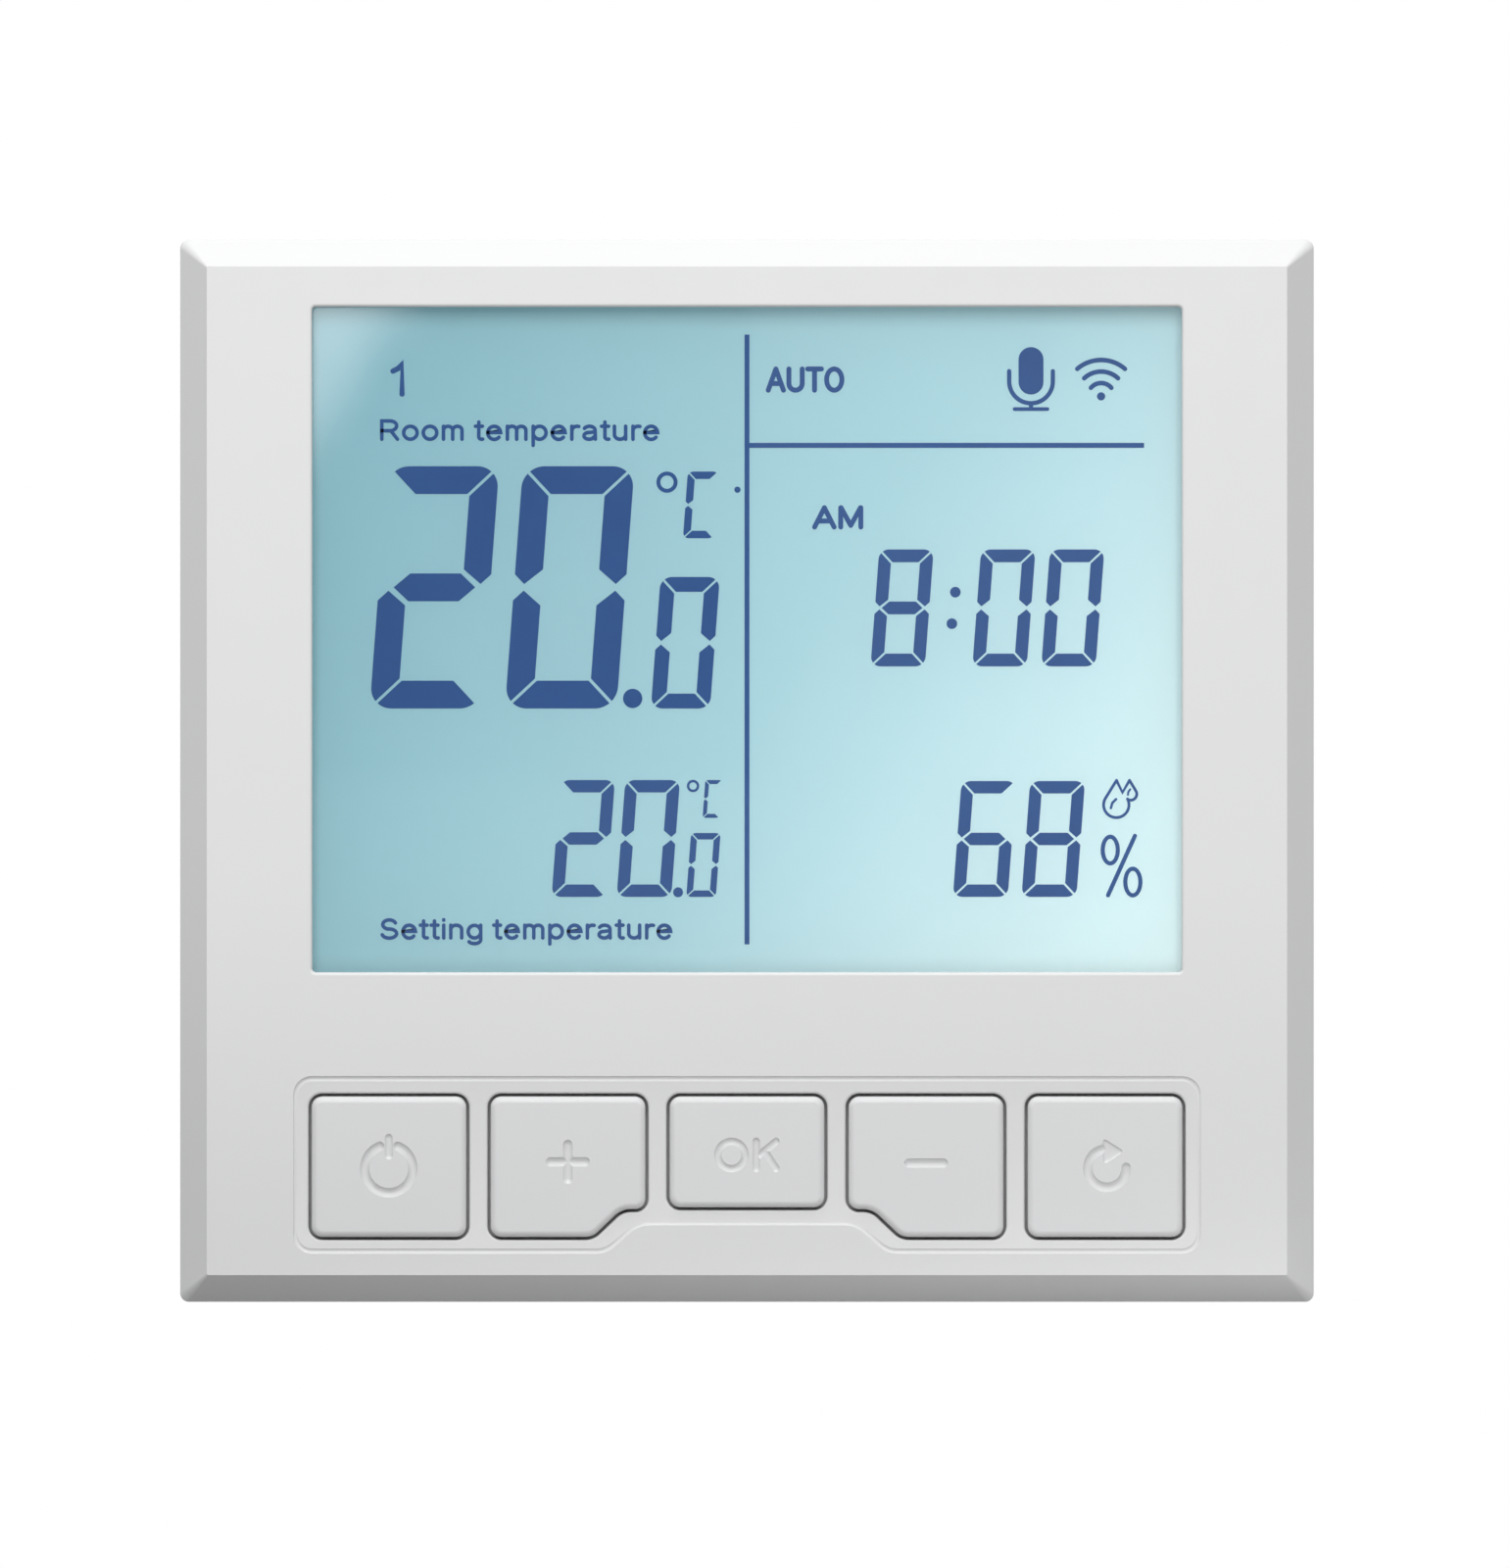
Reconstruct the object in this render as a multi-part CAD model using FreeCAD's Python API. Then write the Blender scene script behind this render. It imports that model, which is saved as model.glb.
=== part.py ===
import FreeCAD, Part
import math
import os

from FreeCAD import Vector

# A flush-mounted wall thermostat with a large segment display and five keys, in millimetres.
# X runs to the right, Z up and Y into the wall. Y = 0 is the wall's surface, so the front faces -Y.
# The wall base (steel plate, rear housing, power board, terminals) stays on the wall, and the front
# module (cover, display, control board, keys) pulls off it towards -Y.

# ---------------------------------------------------------------- driving dimensions
PLATE_W, PLATE_H = 91.8, 86.0        # outside of the front cover
FRONT_Y = -16.0                      # front face of the cover
REAR_Y = -0.5                        # rear edge of the cover, just off the wall
BEVEL = 2.25                         # mitred edge round the front face
WALL, SKIN = 2.0, 2.2                # side walls and front wall of the cover
WINDOW_W, WINDOW_H, WINDOW_Z = 70.3, 53.8, 10.6
WINDOW_RECESS = 1.0                  # from the front face back to the shoulder behind it
KEY_PITCH, KEY_W = 14.47, 12.75
KEY_TOP, KEY_BOTTOM, KEY_SHELF = -26.2, -37.8, -35.55
KEY_GAP = 0.24                       # all round a key, in its opening
KEY_PROUD = 0.2                      # how far the keys stand out of the front face
TRAY_W, TRAY_TOP, TRAY_BOTTOM, TRAY_STEP = 72.9, -24.9, -38.8, -36.5
TRAY_DISH = 0.3                      # depth of the hollow that the keys stand in
SCREW_PITCH = 60.3                   # wall-box screws of an 86 mm box
SLOT_R, SLOT_LENGTH = 2.3, 7.5       # their slots in the steel plate
HOUSING_W, HOUSING_TOP, HOUSING_BOTTOM, HOUSING_DEPTH = 52.0, 29.0, -29.0, 27.0
TERMINAL_DEPTH = 17.0                # rear face of the terminal block, on the housing's lower step
POLES, POLE_PITCH = 6, 7.6

# ---------------------------------------------------------------- derived places
HALF_W, HALF_H = PLATE_W / 2, PLATE_H / 2
CAVITY_W, CAVITY_H = HALF_W - WALL, HALF_H - WALL
CAVITY_Y = FRONT_Y + SKIN
WINDOW_LOW, WINDOW_HIGH = WINDOW_Z - WINDOW_H / 2, WINDOW_Z + WINDOW_H / 2
SHOULDER_Y = FRONT_Y + WINDOW_RECESS
LENS_LIP, LENS_T, TAPE_T = 1.5, 1.2, 0.15
LENS_Y = SHOULDER_Y + TAPE_T
GLASS_W = WINDOW_W / 2 + 1.85
GLASS_LOW, GLASS_HIGH = WINDOW_LOW - 2.6, WINDOW_HIGH + 1.6
POLARIZER_T, GLASS_T, SHEET_T, GUIDE_T = 0.15, 1.1, 0.3, 2.5
POLARIZER_Y = CAVITY_Y + 0.45
FRONT_GLASS_Y = POLARIZER_Y + POLARIZER_T
REAR_GLASS_Y = FRONT_GLASS_Y + GLASS_T
DIFFUSER_Y = REAR_GLASS_Y + GLASS_T + POLARIZER_T
GUIDE_Y = DIFFUSER_Y + SHEET_T
REFLECTOR_Y = GUIDE_Y + GUIDE_T
HOLDER_WALL, HOLDER_BASE = 1.0, 0.9
HOLDER_BASE_Y = REFLECTOR_Y + POLARIZER_T
BOARD_T = 1.6
BOARD_Y = HOLDER_BASE_Y + HOLDER_BASE + 0.05        # front face of the control board
BOARD_BACK = BOARD_Y + BOARD_T
BACK_COVER_Y, BACK_COVER_T = -2.6, 1.4
SHEET_STEEL = 1.0
PLATE_BACK = -0.2                    # coined back of the steel plate, inside its rim on the wall
KEY_FRONT = FRONT_Y - KEY_PROUD
KEY_SLOTS = {"power": -2, "plus": -1, "ok": 0, "minus": 1, "reset": 2}
KEY_ICON_Z = -32.0
SWITCH_BODY, SWITCH_HEIGHT = 6.0, 3.5
SWITCH_TOP = BOARD_Y - SWITCH_HEIGHT
PLUNGER_R, PLUNGER_H = 1.75, 0.8
CASE_SCREW_AT = (40.9, 37.7)
BOARD_SCREW_X, BOARD_SCREW_Z = 41.3, (2.0, -29.0)
LATCH_Z, LATCH_HALF = (20.0, -14.0), 6.0
SUPPLY_BOARD_Y = 3.0
SUPPLY_BOARD_BACK = SUPPLY_BOARD_Y + BOARD_T
HOUSING_WALL = 2.0
HEADER_Z, HEADER_PITCH, HEADER_COLUMNS, HEADER_ROWS = -12.0, 2.54, 5, 2
HOUSING_EAR = (28.8, 21.0)
STEP_TOP = -17.6                     # where the housing's deep part begins


# ---------------------------------------------------------------- outlines and simple solids
def unit(a, b):
    """Direction from a to b in the XZ plane."""
    length = math.hypot(b[0] - a[0], b[1] - a[1])
    return (b[0] - a[0]) / length, (b[1] - a[1]) / length


def turns(corners):
    """Each corner with the directions into it and out of it."""
    count = len(corners)
    for i, corner in enumerate(corners):
        yield corner, unit(corners[i - 1], corner), unit(corner, corners[(i + 1) % count])


def outline(y, corners):
    """Closed wire at depth y from (x, z, radius) corners, anticlockwise as seen from the front."""
    edges, places = [], []
    for (x, z, radius), into, out in turns(corners):
        half_turn = math.acos(max(-1.0, min(1.0, into[0] * out[0] + into[1] * out[1]))) / 2
        reach = radius * math.tan(half_turn)
        bulge = radius * (1 / math.cos(half_turn) - 1)
        bisector = unit((0, 0), (out[0] - into[0], out[1] - into[1]))
        start = Vector(x - into[0] * reach, y, z - into[1] * reach)
        middle = Vector(x + bisector[0] * bulge, y, z + bisector[1] * bulge)
        end = Vector(x + out[0] * reach, y, z + out[1] * reach)
        places.append((start, middle, end))
    for i, (start, middle, end) in enumerate(places):
        previous = places[i - 1][2]
        if previous.distanceToPoint(start) > 1e-6:
            edges.append(Part.LineSegment(previous, start).toShape())
        if start.distanceToPoint(end) > 1e-6:
            edges.append(Part.Arc(start, middle, end).toShape())
    return Part.Wire(edges)


def grown(corners, by):
    """The same corners with every side moved outwards by a distance, and the radii to suit."""
    found = []
    for (x, z, radius), into, out in turns(corners):
        cross = into[0] * out[1] - into[1] * out[0]
        dot = into[0] * out[0] + into[1] * out[1]
        along = by * (1 - dot) / cross
        found.append((
            x + by * into[1] + along * into[0],
            z - by * into[0] + along * into[1],
            max(0.0, radius + by * math.copysign(1, cross)) if radius else 0.0,
        ))
    return found


def rectangle(half_w, low, high, radius=0.0):
    return [(-half_w, low, radius), (half_w, low, radius), (half_w, high, radius), (-half_w, high, radius)]


def at(x, z, corners):
    """The same corners moved to (x, z)."""
    return [(px + x, pz + z, radius) for px, pz, radius in corners]


def mirrored(corners):
    return [(-x, z, radius) for x, z, radius in reversed(corners)]


def slab(corners, y0, y1):
    return Part.Face(outline(y0, corners)).extrude(Vector(0, y1 - y0, 0))


def loft(front, y0, back, y1):
    return Part.makeLoft([outline(y0, front), outline(y1, back)], True, True)


def box(x0, x1, y0, y1, z0, z1):
    return Part.makeBox(x1 - x0, y1 - y0, z1 - z0, Vector(x0, y0, z0))


def rod_y(x, z, radius, y0, y1):
    return Part.makeCylinder(radius, y1 - y0, Vector(x, y0, z), Vector(0, 1, 0))


def rod_x(y, z, radius, x0, x1):
    return Part.makeCylinder(radius, x1 - x0, Vector(x0, y, z), Vector(1, 0, 0))


def cone_y(x, z, r0, r1, y0, y1):
    return Part.makeCone(r0, r1, y1 - y0, Vector(x, y0, z), Vector(0, 1, 0))


def fuse(shapes):
    return shapes[0].fuse(shapes[1:]).removeSplitter()


def rounded(shape, radius, chosen):
    """Fillets the edges that the test picks."""
    return shape.makeFillet(radius, [edge for edge in shape.Edges if chosen(edge)])


def flat_at(edge, y):
    """Whether an edge lies at depth y."""
    bounds = edge.BoundBox
    return abs(bounds.YMin - y) < 1e-4 and abs(bounds.YMax - y) < 1e-4


def four_ways(x, z):
    return [(sx * x, sz * z) for sx in (-1, 1) for sz in (-1, 1)]


def cross_recess(x, z, y, depth, reach, width):
    """Cutter for a cross-head recess that opens towards -Y at depth y."""
    arms = [box(x - reach, x + reach, y, y + depth, z - width / 2, z + width / 2),
            box(x - width / 2, x + width / 2, y, y + depth, z - reach, z + reach)]
    return fuse(arms)


def pan_screw(x, z, head_y, head_r, head_h, shank_r, length):
    """Screw driven from behind: its head lies towards +Y of head_y, its shank towards -Y."""
    head = rod_y(x, z, head_r, head_y, head_y + head_h)
    head = rounded(head, head_h * 0.45, lambda e: flat_at(e, head_y + head_h))
    tip = cone_y(x, z, shank_r * 0.5, shank_r, head_y - length, head_y - length + shank_r)
    body = fuse([head, rod_y(x, z, shank_r, head_y - length + shank_r, head_y), tip])
    reach = head_r * 0.55
    return body.cut(cross_recess(x, z, head_y + head_h - head_h * 0.6, head_h, reach, head_r * 0.28))


# ---------------------------------------------------------------- keys
def key_outline(name):
    """Middle line of the gap round a key."""
    middle, half = KEY_SLOTS[name] * KEY_PITCH, KEY_W / 2
    corner, bite = 1.0, 0.95
    if name == "ok":
        corners = rectangle(half, KEY_SHELF + 0.15, KEY_TOP, corner)
    elif name in ("plus", "minus"):
        corners = [
            (-half, KEY_BOTTOM, corner), (half - 4.35, KEY_BOTTOM, 1.6), (half - 2.0, KEY_SHELF, 1.75),
            (half, KEY_SHELF, bite), (half, KEY_TOP, corner), (-half, KEY_TOP, corner),
        ]
        corners = corners if name == "plus" else mirrored(corners)
    else:
        corners = rectangle(half, KEY_BOTTOM, KEY_TOP, corner)
    return at(middle, 0, corners)


def groove_line(start, end, radius, y):
    """Round-bottomed groove cutter from one (x, z) point to another."""
    a, b = Vector(start[0], y, start[1]), Vector(end[0], y, end[1])
    body = Part.makeCylinder(radius, a.distanceToPoint(b), a, b.sub(a))
    return fuse([body, Part.makeSphere(radius, a), Part.makeSphere(radius, b)])


def groove_arc(x, z, bend, start, sweep, radius, y):
    """Round-bottomed groove cutter along an arc about (x, z), angles in degrees from +X towards +Z."""
    centre = Vector(x, y, z)

    def point(angle):
        return centre + Vector(math.cos(math.radians(angle)), 0, math.sin(math.radians(angle))) * bend

    section = Part.Circle(point(start), Vector(-math.sin(math.radians(start)), 0,
                                               math.cos(math.radians(start))), radius)
    tube = Part.Face(Part.Wire(section.toShape())).revolve(centre, Vector(0, -1, 0), sweep)
    if sweep >= 360:
        return tube
    return fuse([tube, Part.makeSphere(radius, point(start)), Part.makeSphere(radius, point(start + sweep))])


def icon_cutters(name):
    """Cutters for the engraved sign on a key."""
    x, z = KEY_SLOTS[name] * KEY_PITCH, KEY_ICON_Z
    bold, fine = 0.42, 0.33
    y, y_fine = KEY_FRONT - 0.17, KEY_FRONT - 0.13
    if name == "power":
        ring = groove_arc(x, z - 0.15, 1.95, 112, 316, bold, y)
        return [ring, groove_line((x, z + 2.35), (x, z + 0.9), bold * 0.85, y)]
    if name == "plus":
        arm = 1.4
        return [groove_line((x - arm, z + 0.4), (x + arm, z + 0.4), bold, y),
                groove_line((x, z + 0.4 - arm), (x, z + 0.4 + arm), bold, y)]
    if name == "minus":
        return [groove_line((x - 1.4, z + 0.3), (x + 1.4, z + 0.3), bold, y)]
    if name == "ok":
        middle, high = z + 0.95, 1.1
        stem = x + 0.75
        return [groove_arc(x - 1.25, middle, 1.1, 0, 360, fine, y_fine),
                groove_line((stem, middle - high), (stem, middle + high), fine, y_fine),
                groove_line((stem + 0.25, middle), (stem + 1.6, middle + high), fine, y_fine),
                groove_line((stem + 0.7, middle + 0.3), (stem + 1.6, middle - high), fine, y_fine)]
    ring_x, ring_z, bend = x + 0.15, z - 0.1, 1.55
    tip = (ring_x + 1.05, ring_z + bend - 0.2)
    barbs = [(ring_x - 0.15, ring_z + bend + 0.55), (ring_x - 0.1, ring_z + bend - 0.95)]
    sides = [groove_line(a, b, 0.2, KEY_FRONT - 0.02)
             for a, b in ((tip, barbs[0]), (tip, barbs[1]), (barbs[0], barbs[1]))]
    head = slab([(*barbs[1], 0), (*tip, 0), (*barbs[0], 0)], KEY_FRONT - 0.3, KEY_FRONT + 0.18)
    return [groove_arc(ring_x, ring_z, bend, 100, 262, bold, y), head] + sides


def keycap(name):
    """Hollow cap with a retaining flange behind the cover and a post on the switch."""
    plan = grown(key_outline(name), -KEY_GAP / 2)
    flange_y, flange_t, skirt = CAVITY_Y + 0.05, 0.8, 1.0
    cap = rounded(slab(plan, KEY_FRONT, flange_y + flange_t), 0.5, lambda e: flat_at(e, KEY_FRONT))
    flange = slab(grown(plan, 0.5), flange_y, flange_y + flange_t)
    hollow = slab(grown(plan, -skirt), KEY_FRONT + 1.3, flange_y + flange_t)
    x = KEY_SLOTS[name] * KEY_PITCH
    post_end = SWITCH_TOP - PLUNGER_H
    post = rod_y(x, KEY_ICON_Z, 1.5, KEY_FRONT + 1.3, post_end)
    webs = [box(x - 3.2, x + 3.2, KEY_FRONT + 1.3, flange_y + flange_t, KEY_ICON_Z - 0.4, KEY_ICON_Z + 0.4),
            box(x - 0.4, x + 0.4, KEY_FRONT + 1.3, flange_y + flange_t, KEY_ICON_Z - 2.6, KEY_ICON_Z + 4.0)]
    body = fuse([cap.fuse(flange).cut(hollow), post] + webs)
    return body.cut(icon_cutters(name))


def plunger(name):
    """Round actuator of the switch behind a key."""
    x = KEY_SLOTS[name] * KEY_PITCH
    top = SWITCH_TOP - PLUNGER_H
    stem = rod_y(x, KEY_ICON_Z, PLUNGER_R, top, SWITCH_TOP + 0.5)
    return rounded(stem, 0.2, lambda e: flat_at(e, top))


# ---------------------------------------------------------------- front cover
def tray_outline():
    """Outline of the dished tray round the keys, stepped up under the middle key."""
    half, corner = TRAY_W / 2, 1.3
    inner, outer = 8.85, 11.4
    return [
        (-half, TRAY_BOTTOM, corner), (-outer, TRAY_BOTTOM, 2.1), (-inner, TRAY_STEP, 2.7),
        (inner, TRAY_STEP, 2.7), (outer, TRAY_BOTTOM, 2.1), (half, TRAY_BOTTOM, corner),
        (half, TRAY_TOP, corner), (-half, TRAY_TOP, corner),
    ]


def tray_dish():
    """Cutter for the shallow trough along X that the keys stand in, kept inside the tray's outline."""
    chord = TRAY_TOP - TRAY_BOTTOM + 2.0
    bend = chord ** 2 / (8 * TRAY_DISH) + TRAY_DISH / 2
    middle = (TRAY_TOP + TRAY_BOTTOM) / 2
    trough = rod_x(FRONT_Y + TRAY_DISH - bend, middle, bend, -HALF_W, HALF_W)
    return trough.common(slab(tray_outline(), FRONT_Y - 0.5, FRONT_Y + 1.0))


def tray_groove():
    """Cutter for the fine round-bottomed groove round the tray."""
    path = outline(FRONT_Y - 0.06, tray_outline())
    start = path.Edges[0]
    section = Part.Circle(start.valueAt(start.FirstParameter), start.tangentAt(start.FirstParameter), 0.24)
    return path.makePipeShell([Part.Wire(section.toShape())], True, False)


def cover_shell():
    """Outer form with the mitred bevel, hollowed from behind."""
    outer = rectangle(HALF_W, -HALF_H, HALF_H, 0.7)
    face = rectangle(HALF_W - BEVEL, -HALF_H + BEVEL, HALF_H - BEVEL, 0.15)
    bevel_y = FRONT_Y + BEVEL
    body = fuse([loft(face, FRONT_Y, outer, bevel_y), slab(outer, bevel_y, REAR_Y)])
    cavity = slab(rectangle(CAVITY_W, -CAVITY_H, CAVITY_H, 1.0), CAVITY_Y, REAR_Y)
    return body.cut(cavity)


def cover_bosses():
    """Bosses for the case screws and the control-board screws, with ribs to the side walls."""
    made = []
    for x, z in four_ways(*CASE_SCREW_AT):
        made.append(rod_y(x, z, 2.3, CAVITY_Y, -5.05))
        side = math.copysign(CAVITY_W, x)
        made.append(box(min(x, side), max(x, side), CAVITY_Y, -8.0, z - 0.5, z + 0.5))
    for sx in (-1, 1):
        for z in BOARD_SCREW_Z:
            made.append(rod_y(sx * BOARD_SCREW_X, z, 1.8, CAVITY_Y, BOARD_Y - 0.05))
    return made


def boss_holes():
    holes = [rod_y(x, z, 1.3, -12.5, -5.05) for x, z in four_ways(*CASE_SCREW_AT)]
    holes += [rod_y(sx * BOARD_SCREW_X, z, 1.0, -12.0, BOARD_Y - 0.05)
              for sx in (-1, 1) for z in BOARD_SCREW_Z]
    return holes


def vent_slots():
    """Air slots through the top and bottom walls, and two release notches at the bottom edge."""
    cutters = []
    for i in range(13):
        x = (i - 6) * 3.6
        for z0, z1 in ((-HALF_H - 1, -CAVITY_H + 0.5), (CAVITY_H - 0.5, HALF_H + 1)):
            cutters.append(box(x - 0.7, x + 0.7, -10.5, -5.0, z0, z1))
    for sx in (-1, 1):
        cutters.append(box(sx * 30 - 2.5, sx * 30 + 2.5, REAR_Y - 1.3, REAR_Y, -HALF_H - 1, -CAVITY_H + 0.5))
    return cutters


def latch_grooves():
    """Grooves in the side walls that the latch springs snap into."""
    cutters = []
    for z in LATCH_Z:
        for x0, x1 in ((CAVITY_W - 0.5, CAVITY_W + 0.7), (-CAVITY_W - 0.7, -CAVITY_W + 0.5)):
            cutters.append(box(x0, x1, -5.3, -2.9, z - LATCH_HALF - 0.4, z + LATCH_HALF + 0.4))
    return cutters


def on_rim(edge, opening):
    """Whether an edge lies along the front rim of an opening."""
    found, area = edge.BoundBox, opening.BoundBox
    return (found.YMax < FRONT_Y + TRAY_DISH + 0.05
            and area.XMin - 0.02 < found.XMin and found.XMax < area.XMax + 0.02
            and area.ZMin - 0.02 < found.ZMin and found.ZMax < area.ZMax + 0.02)


def front_cover():
    body = fuse([cover_shell()] + cover_bosses())
    window = rectangle(WINDOW_W / 2, WINDOW_LOW, WINDOW_HIGH, 0.3)
    sight = slab(window, FRONT_Y - 1, CAVITY_Y + 1)
    body = body.cut([sight, slab(grown(window, LENS_LIP), SHOULDER_Y, CAVITY_Y + 1)])
    body = rounded(body, 0.25, lambda e: on_rim(e, sight))
    openings = [slab(grown(key_outline(name), KEY_GAP / 2), FRONT_Y - 1, CAVITY_Y + 1) for name in KEY_SLOTS]
    body = body.cut(tray_dish()).cut(openings)
    body = rounded(body, 0.2, lambda e: any(on_rim(e, opening) for opening in openings))
    return body.cut([tray_groove()] + boss_holes() + vent_slots() + latch_grooves())


# ---------------------------------------------------------------- display
def display_lens():
    window = rectangle(WINDOW_W / 2, WINDOW_LOW, WINDOW_HIGH, 0.3)
    plate = slab(grown(window, LENS_LIP - 0.1), LENS_Y, LENS_Y + LENS_T)
    return plate


def lens_tape():
    """Thin adhesive frame that holds the lens to the cover's shoulder."""
    window = rectangle(WINDOW_W / 2, WINDOW_LOW, WINDOW_HIGH, 0.3)
    ring = slab(grown(window, LENS_LIP - 0.2), SHOULDER_Y, LENS_Y)
    return ring.cut(slab(grown(window, 0.2), SHOULDER_Y - 1, LENS_Y + 1))


def lcd_glass():
    """Two glass plates. The front one is longer at the bottom, where its contacts are."""
    front = slab(rectangle(GLASS_W, GLASS_LOW, GLASS_HIGH), FRONT_GLASS_Y, REAR_GLASS_Y)
    rear = slab(rectangle(GLASS_W, WINDOW_LOW - 0.3, GLASS_HIGH), REAR_GLASS_Y, REAR_GLASS_Y + GLASS_T)
    return [front, rear]


def lcd_polarizers():
    area = rectangle(GLASS_W - 0.3, WINDOW_LOW - 0.2, GLASS_HIGH - 0.3)
    rear_y = REAR_GLASS_Y + GLASS_T
    return [slab(area, POLARIZER_Y, FRONT_GLASS_Y), slab(area, rear_y, rear_y + POLARIZER_T)]


def guide_area(inset=0.0):
    """Plan of the light guide: short of the holder on the right, where the lamps stand."""
    low, high = WINDOW_LOW - 0.1 + inset, GLASS_HIGH - 0.1 - inset
    return [(-GLASS_W + 0.1 + inset, low, 0), (GLASS_W - 1.6 - inset, low, 0),
            (GLASS_W - 1.6 - inset, high, 0), (-GLASS_W + 0.1 + inset, high, 0)]


def backlight_sheets():
    """White diffuser in front of the light guide and reflector behind it."""
    return [slab(guide_area(0.1), DIFFUSER_Y, GUIDE_Y), slab(guide_area(0.1), REFLECTOR_Y, HOLDER_BASE_Y)]


def backlight_guide():
    return slab(guide_area(), GUIDE_Y, REFLECTOR_Y)


def lamp_heights():
    """Heights of the four backlight lamps."""
    return [WINDOW_Z + (i - 1.5) * WINDOW_H / 4 for i in range(4)]


def backlight_leds():
    """Side-firing lamps on the control board, at the guide's right edge."""
    lamps = []
    for z in lamp_heights():
        body = box(GLASS_W - 1.4, GLASS_W - 0.4, GUIDE_Y + 0.3, BOARD_Y, z - 1.5, z + 1.5)
        window = box(GLASS_W - 1.5, GLASS_W - 1.3, GUIDE_Y + 0.6, REFLECTOR_Y - 0.3, z - 1.1, z + 1.1)
        lamps.append(body.cut(window))
    return lamps


def lcd_holder():
    """Moulded tray that carries the display and its backlight on the control board."""
    low, high = GLASS_LOW - 0.1, GLASS_HIGH + 0.1
    outer = rectangle(GLASS_W + 0.1 + HOLDER_WALL, low - HOLDER_WALL, high + HOLDER_WALL, 0.6)
    body = slab(outer, POLARIZER_Y, BOARD_Y - 0.05)
    body = body.cut(slab(rectangle(GLASS_W + 0.1, low, high), POLARIZER_Y - 1, HOLDER_BASE_Y))
    strip = box(-34.2, 34.2, HOLDER_BASE_Y - 1, BOARD_Y + 1, GLASS_LOW, WINDOW_LOW - 0.6)
    lamps = [box(GLASS_W - 1.5, GLASS_W - 0.3, HOLDER_BASE_Y - 1, BOARD_Y + 1, z - 1.6, z + 1.6)
             for z in lamp_heights()]
    pockets = [rod_y(x, WINDOW_Z + dz, 9.0, HOLDER_BASE_Y - 0.05, BOARD_Y + 1)
               for x in (-24, 0, 24) for dz in (-14, 14)]
    return body.cut([strip] + lamps + pockets)


def contact_strip():
    """Rubber connector between the front glass's contacts and the control board."""
    return box(-34.0, 34.0, REAR_GLASS_Y, BOARD_Y, GLASS_LOW + 0.15, WINDOW_LOW - 0.75)


# ---------------------------------------------------------------- control board and what is on it
def control_board():
    half_w, half_h, notch = 43.2, 40.3, 5.0
    body = slab(rectangle(half_w, -half_h, half_h, 0.5), BOARD_Y, BOARD_BACK)
    cutters = []
    for x, z in four_ways(half_w, half_h):
        x_in, z_in = math.copysign(half_w - notch, x), math.copysign(half_h - notch - 0.4, z)
        cutters.append(box(min(x, x_in) - 1, max(x, x_in) + 1, BOARD_Y - 1, BOARD_BACK + 1,
                           min(z, z_in) - 1, max(z, z_in) + 1).common(
            box(min(2 * x, x_in), max(2 * x, x_in), BOARD_Y - 1, BOARD_BACK + 1,
                min(2 * z, z_in), max(2 * z, z_in))))
    cutters += latch_notches(BOARD_Y - 1, BOARD_BACK + 1)
    for sx in (-1, 1):
        cutters += [rod_y(sx * BOARD_SCREW_X, z, 1.1, BOARD_Y - 1, BOARD_BACK + 1) for z in BOARD_SCREW_Z]
    cutters += [box(31.0, 31.8, BOARD_Y - 1, BOARD_BACK + 1, -40.0, -34.5),
                box(36.6, 37.4, BOARD_Y - 1, BOARD_BACK + 1, -40.0, -34.5)]
    return body.cut(cutters)


def latch_notches(y0, y1):
    """Room for the four latch springs in the board and the back cover."""
    return [box(min(x, 1.2 * x), max(x, 1.2 * x), y0, y1, z - LATCH_HALF - 0.5, z + LATCH_HALF + 0.5)
            for x in (-40.2, 40.2) for z in LATCH_Z]


def switch_bodies():
    """Square tactile switches, each with a round well for its plunger and four solder tabs."""
    made = []
    half = SWITCH_BODY / 2
    for slot in KEY_SLOTS.values():
        x = slot * KEY_PITCH
        body = slab(at(x, KEY_ICON_Z, rectangle(half, -half, half, 0.4)), SWITCH_TOP, BOARD_Y)
        body = body.cut(rod_y(x, KEY_ICON_Z, PLUNGER_R + 0.1, SWITCH_TOP - 1, SWITCH_TOP + 0.9))
        tabs = [box(x + sx * 3.6 - 0.65, x + sx * 3.6 + 0.65, BOARD_Y - 0.25, BOARD_Y, z - 0.4, z + 0.4)
                for sx in (-1, 1) for z in (KEY_ICON_Z - 2.25, KEY_ICON_Z + 2.25)]
        made.append(fuse([body] + tabs))
    return made


def controller_chip():
    """Square flat package with its row of leads on all four sides."""
    x, z, half, y = -22.0, 14.0, 5.0, BOARD_BACK
    body = slab(at(x, z, rectangle(half, -half, half)), y + 0.1, y + 1.5)
    body = body.makeChamfer(0.2, [e for e in body.Edges if flat_at(e, y + 1.5)])
    body = body.cut(rod_y(x - 3.8, z + 3.8, 0.5, y + 1.4, y + 2))
    leads = []
    for i in range(11):
        step = (i - 5) * 0.8
        for side in (-1, 1):
            leads.append(box(x + step - 0.17, x + step + 0.17, y, y + 0.75,
                             z + side * 5.4 - 0.5, z + side * 5.4 + 0.5))
            leads.append(box(x + side * 5.4 - 0.5, x + side * 5.4 + 0.5, y, y + 0.75,
                             z + step - 0.17, z + step + 0.17))
    return fuse([body] + leads)


WIRELESS_AT = (22.0, 21.0)


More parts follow.
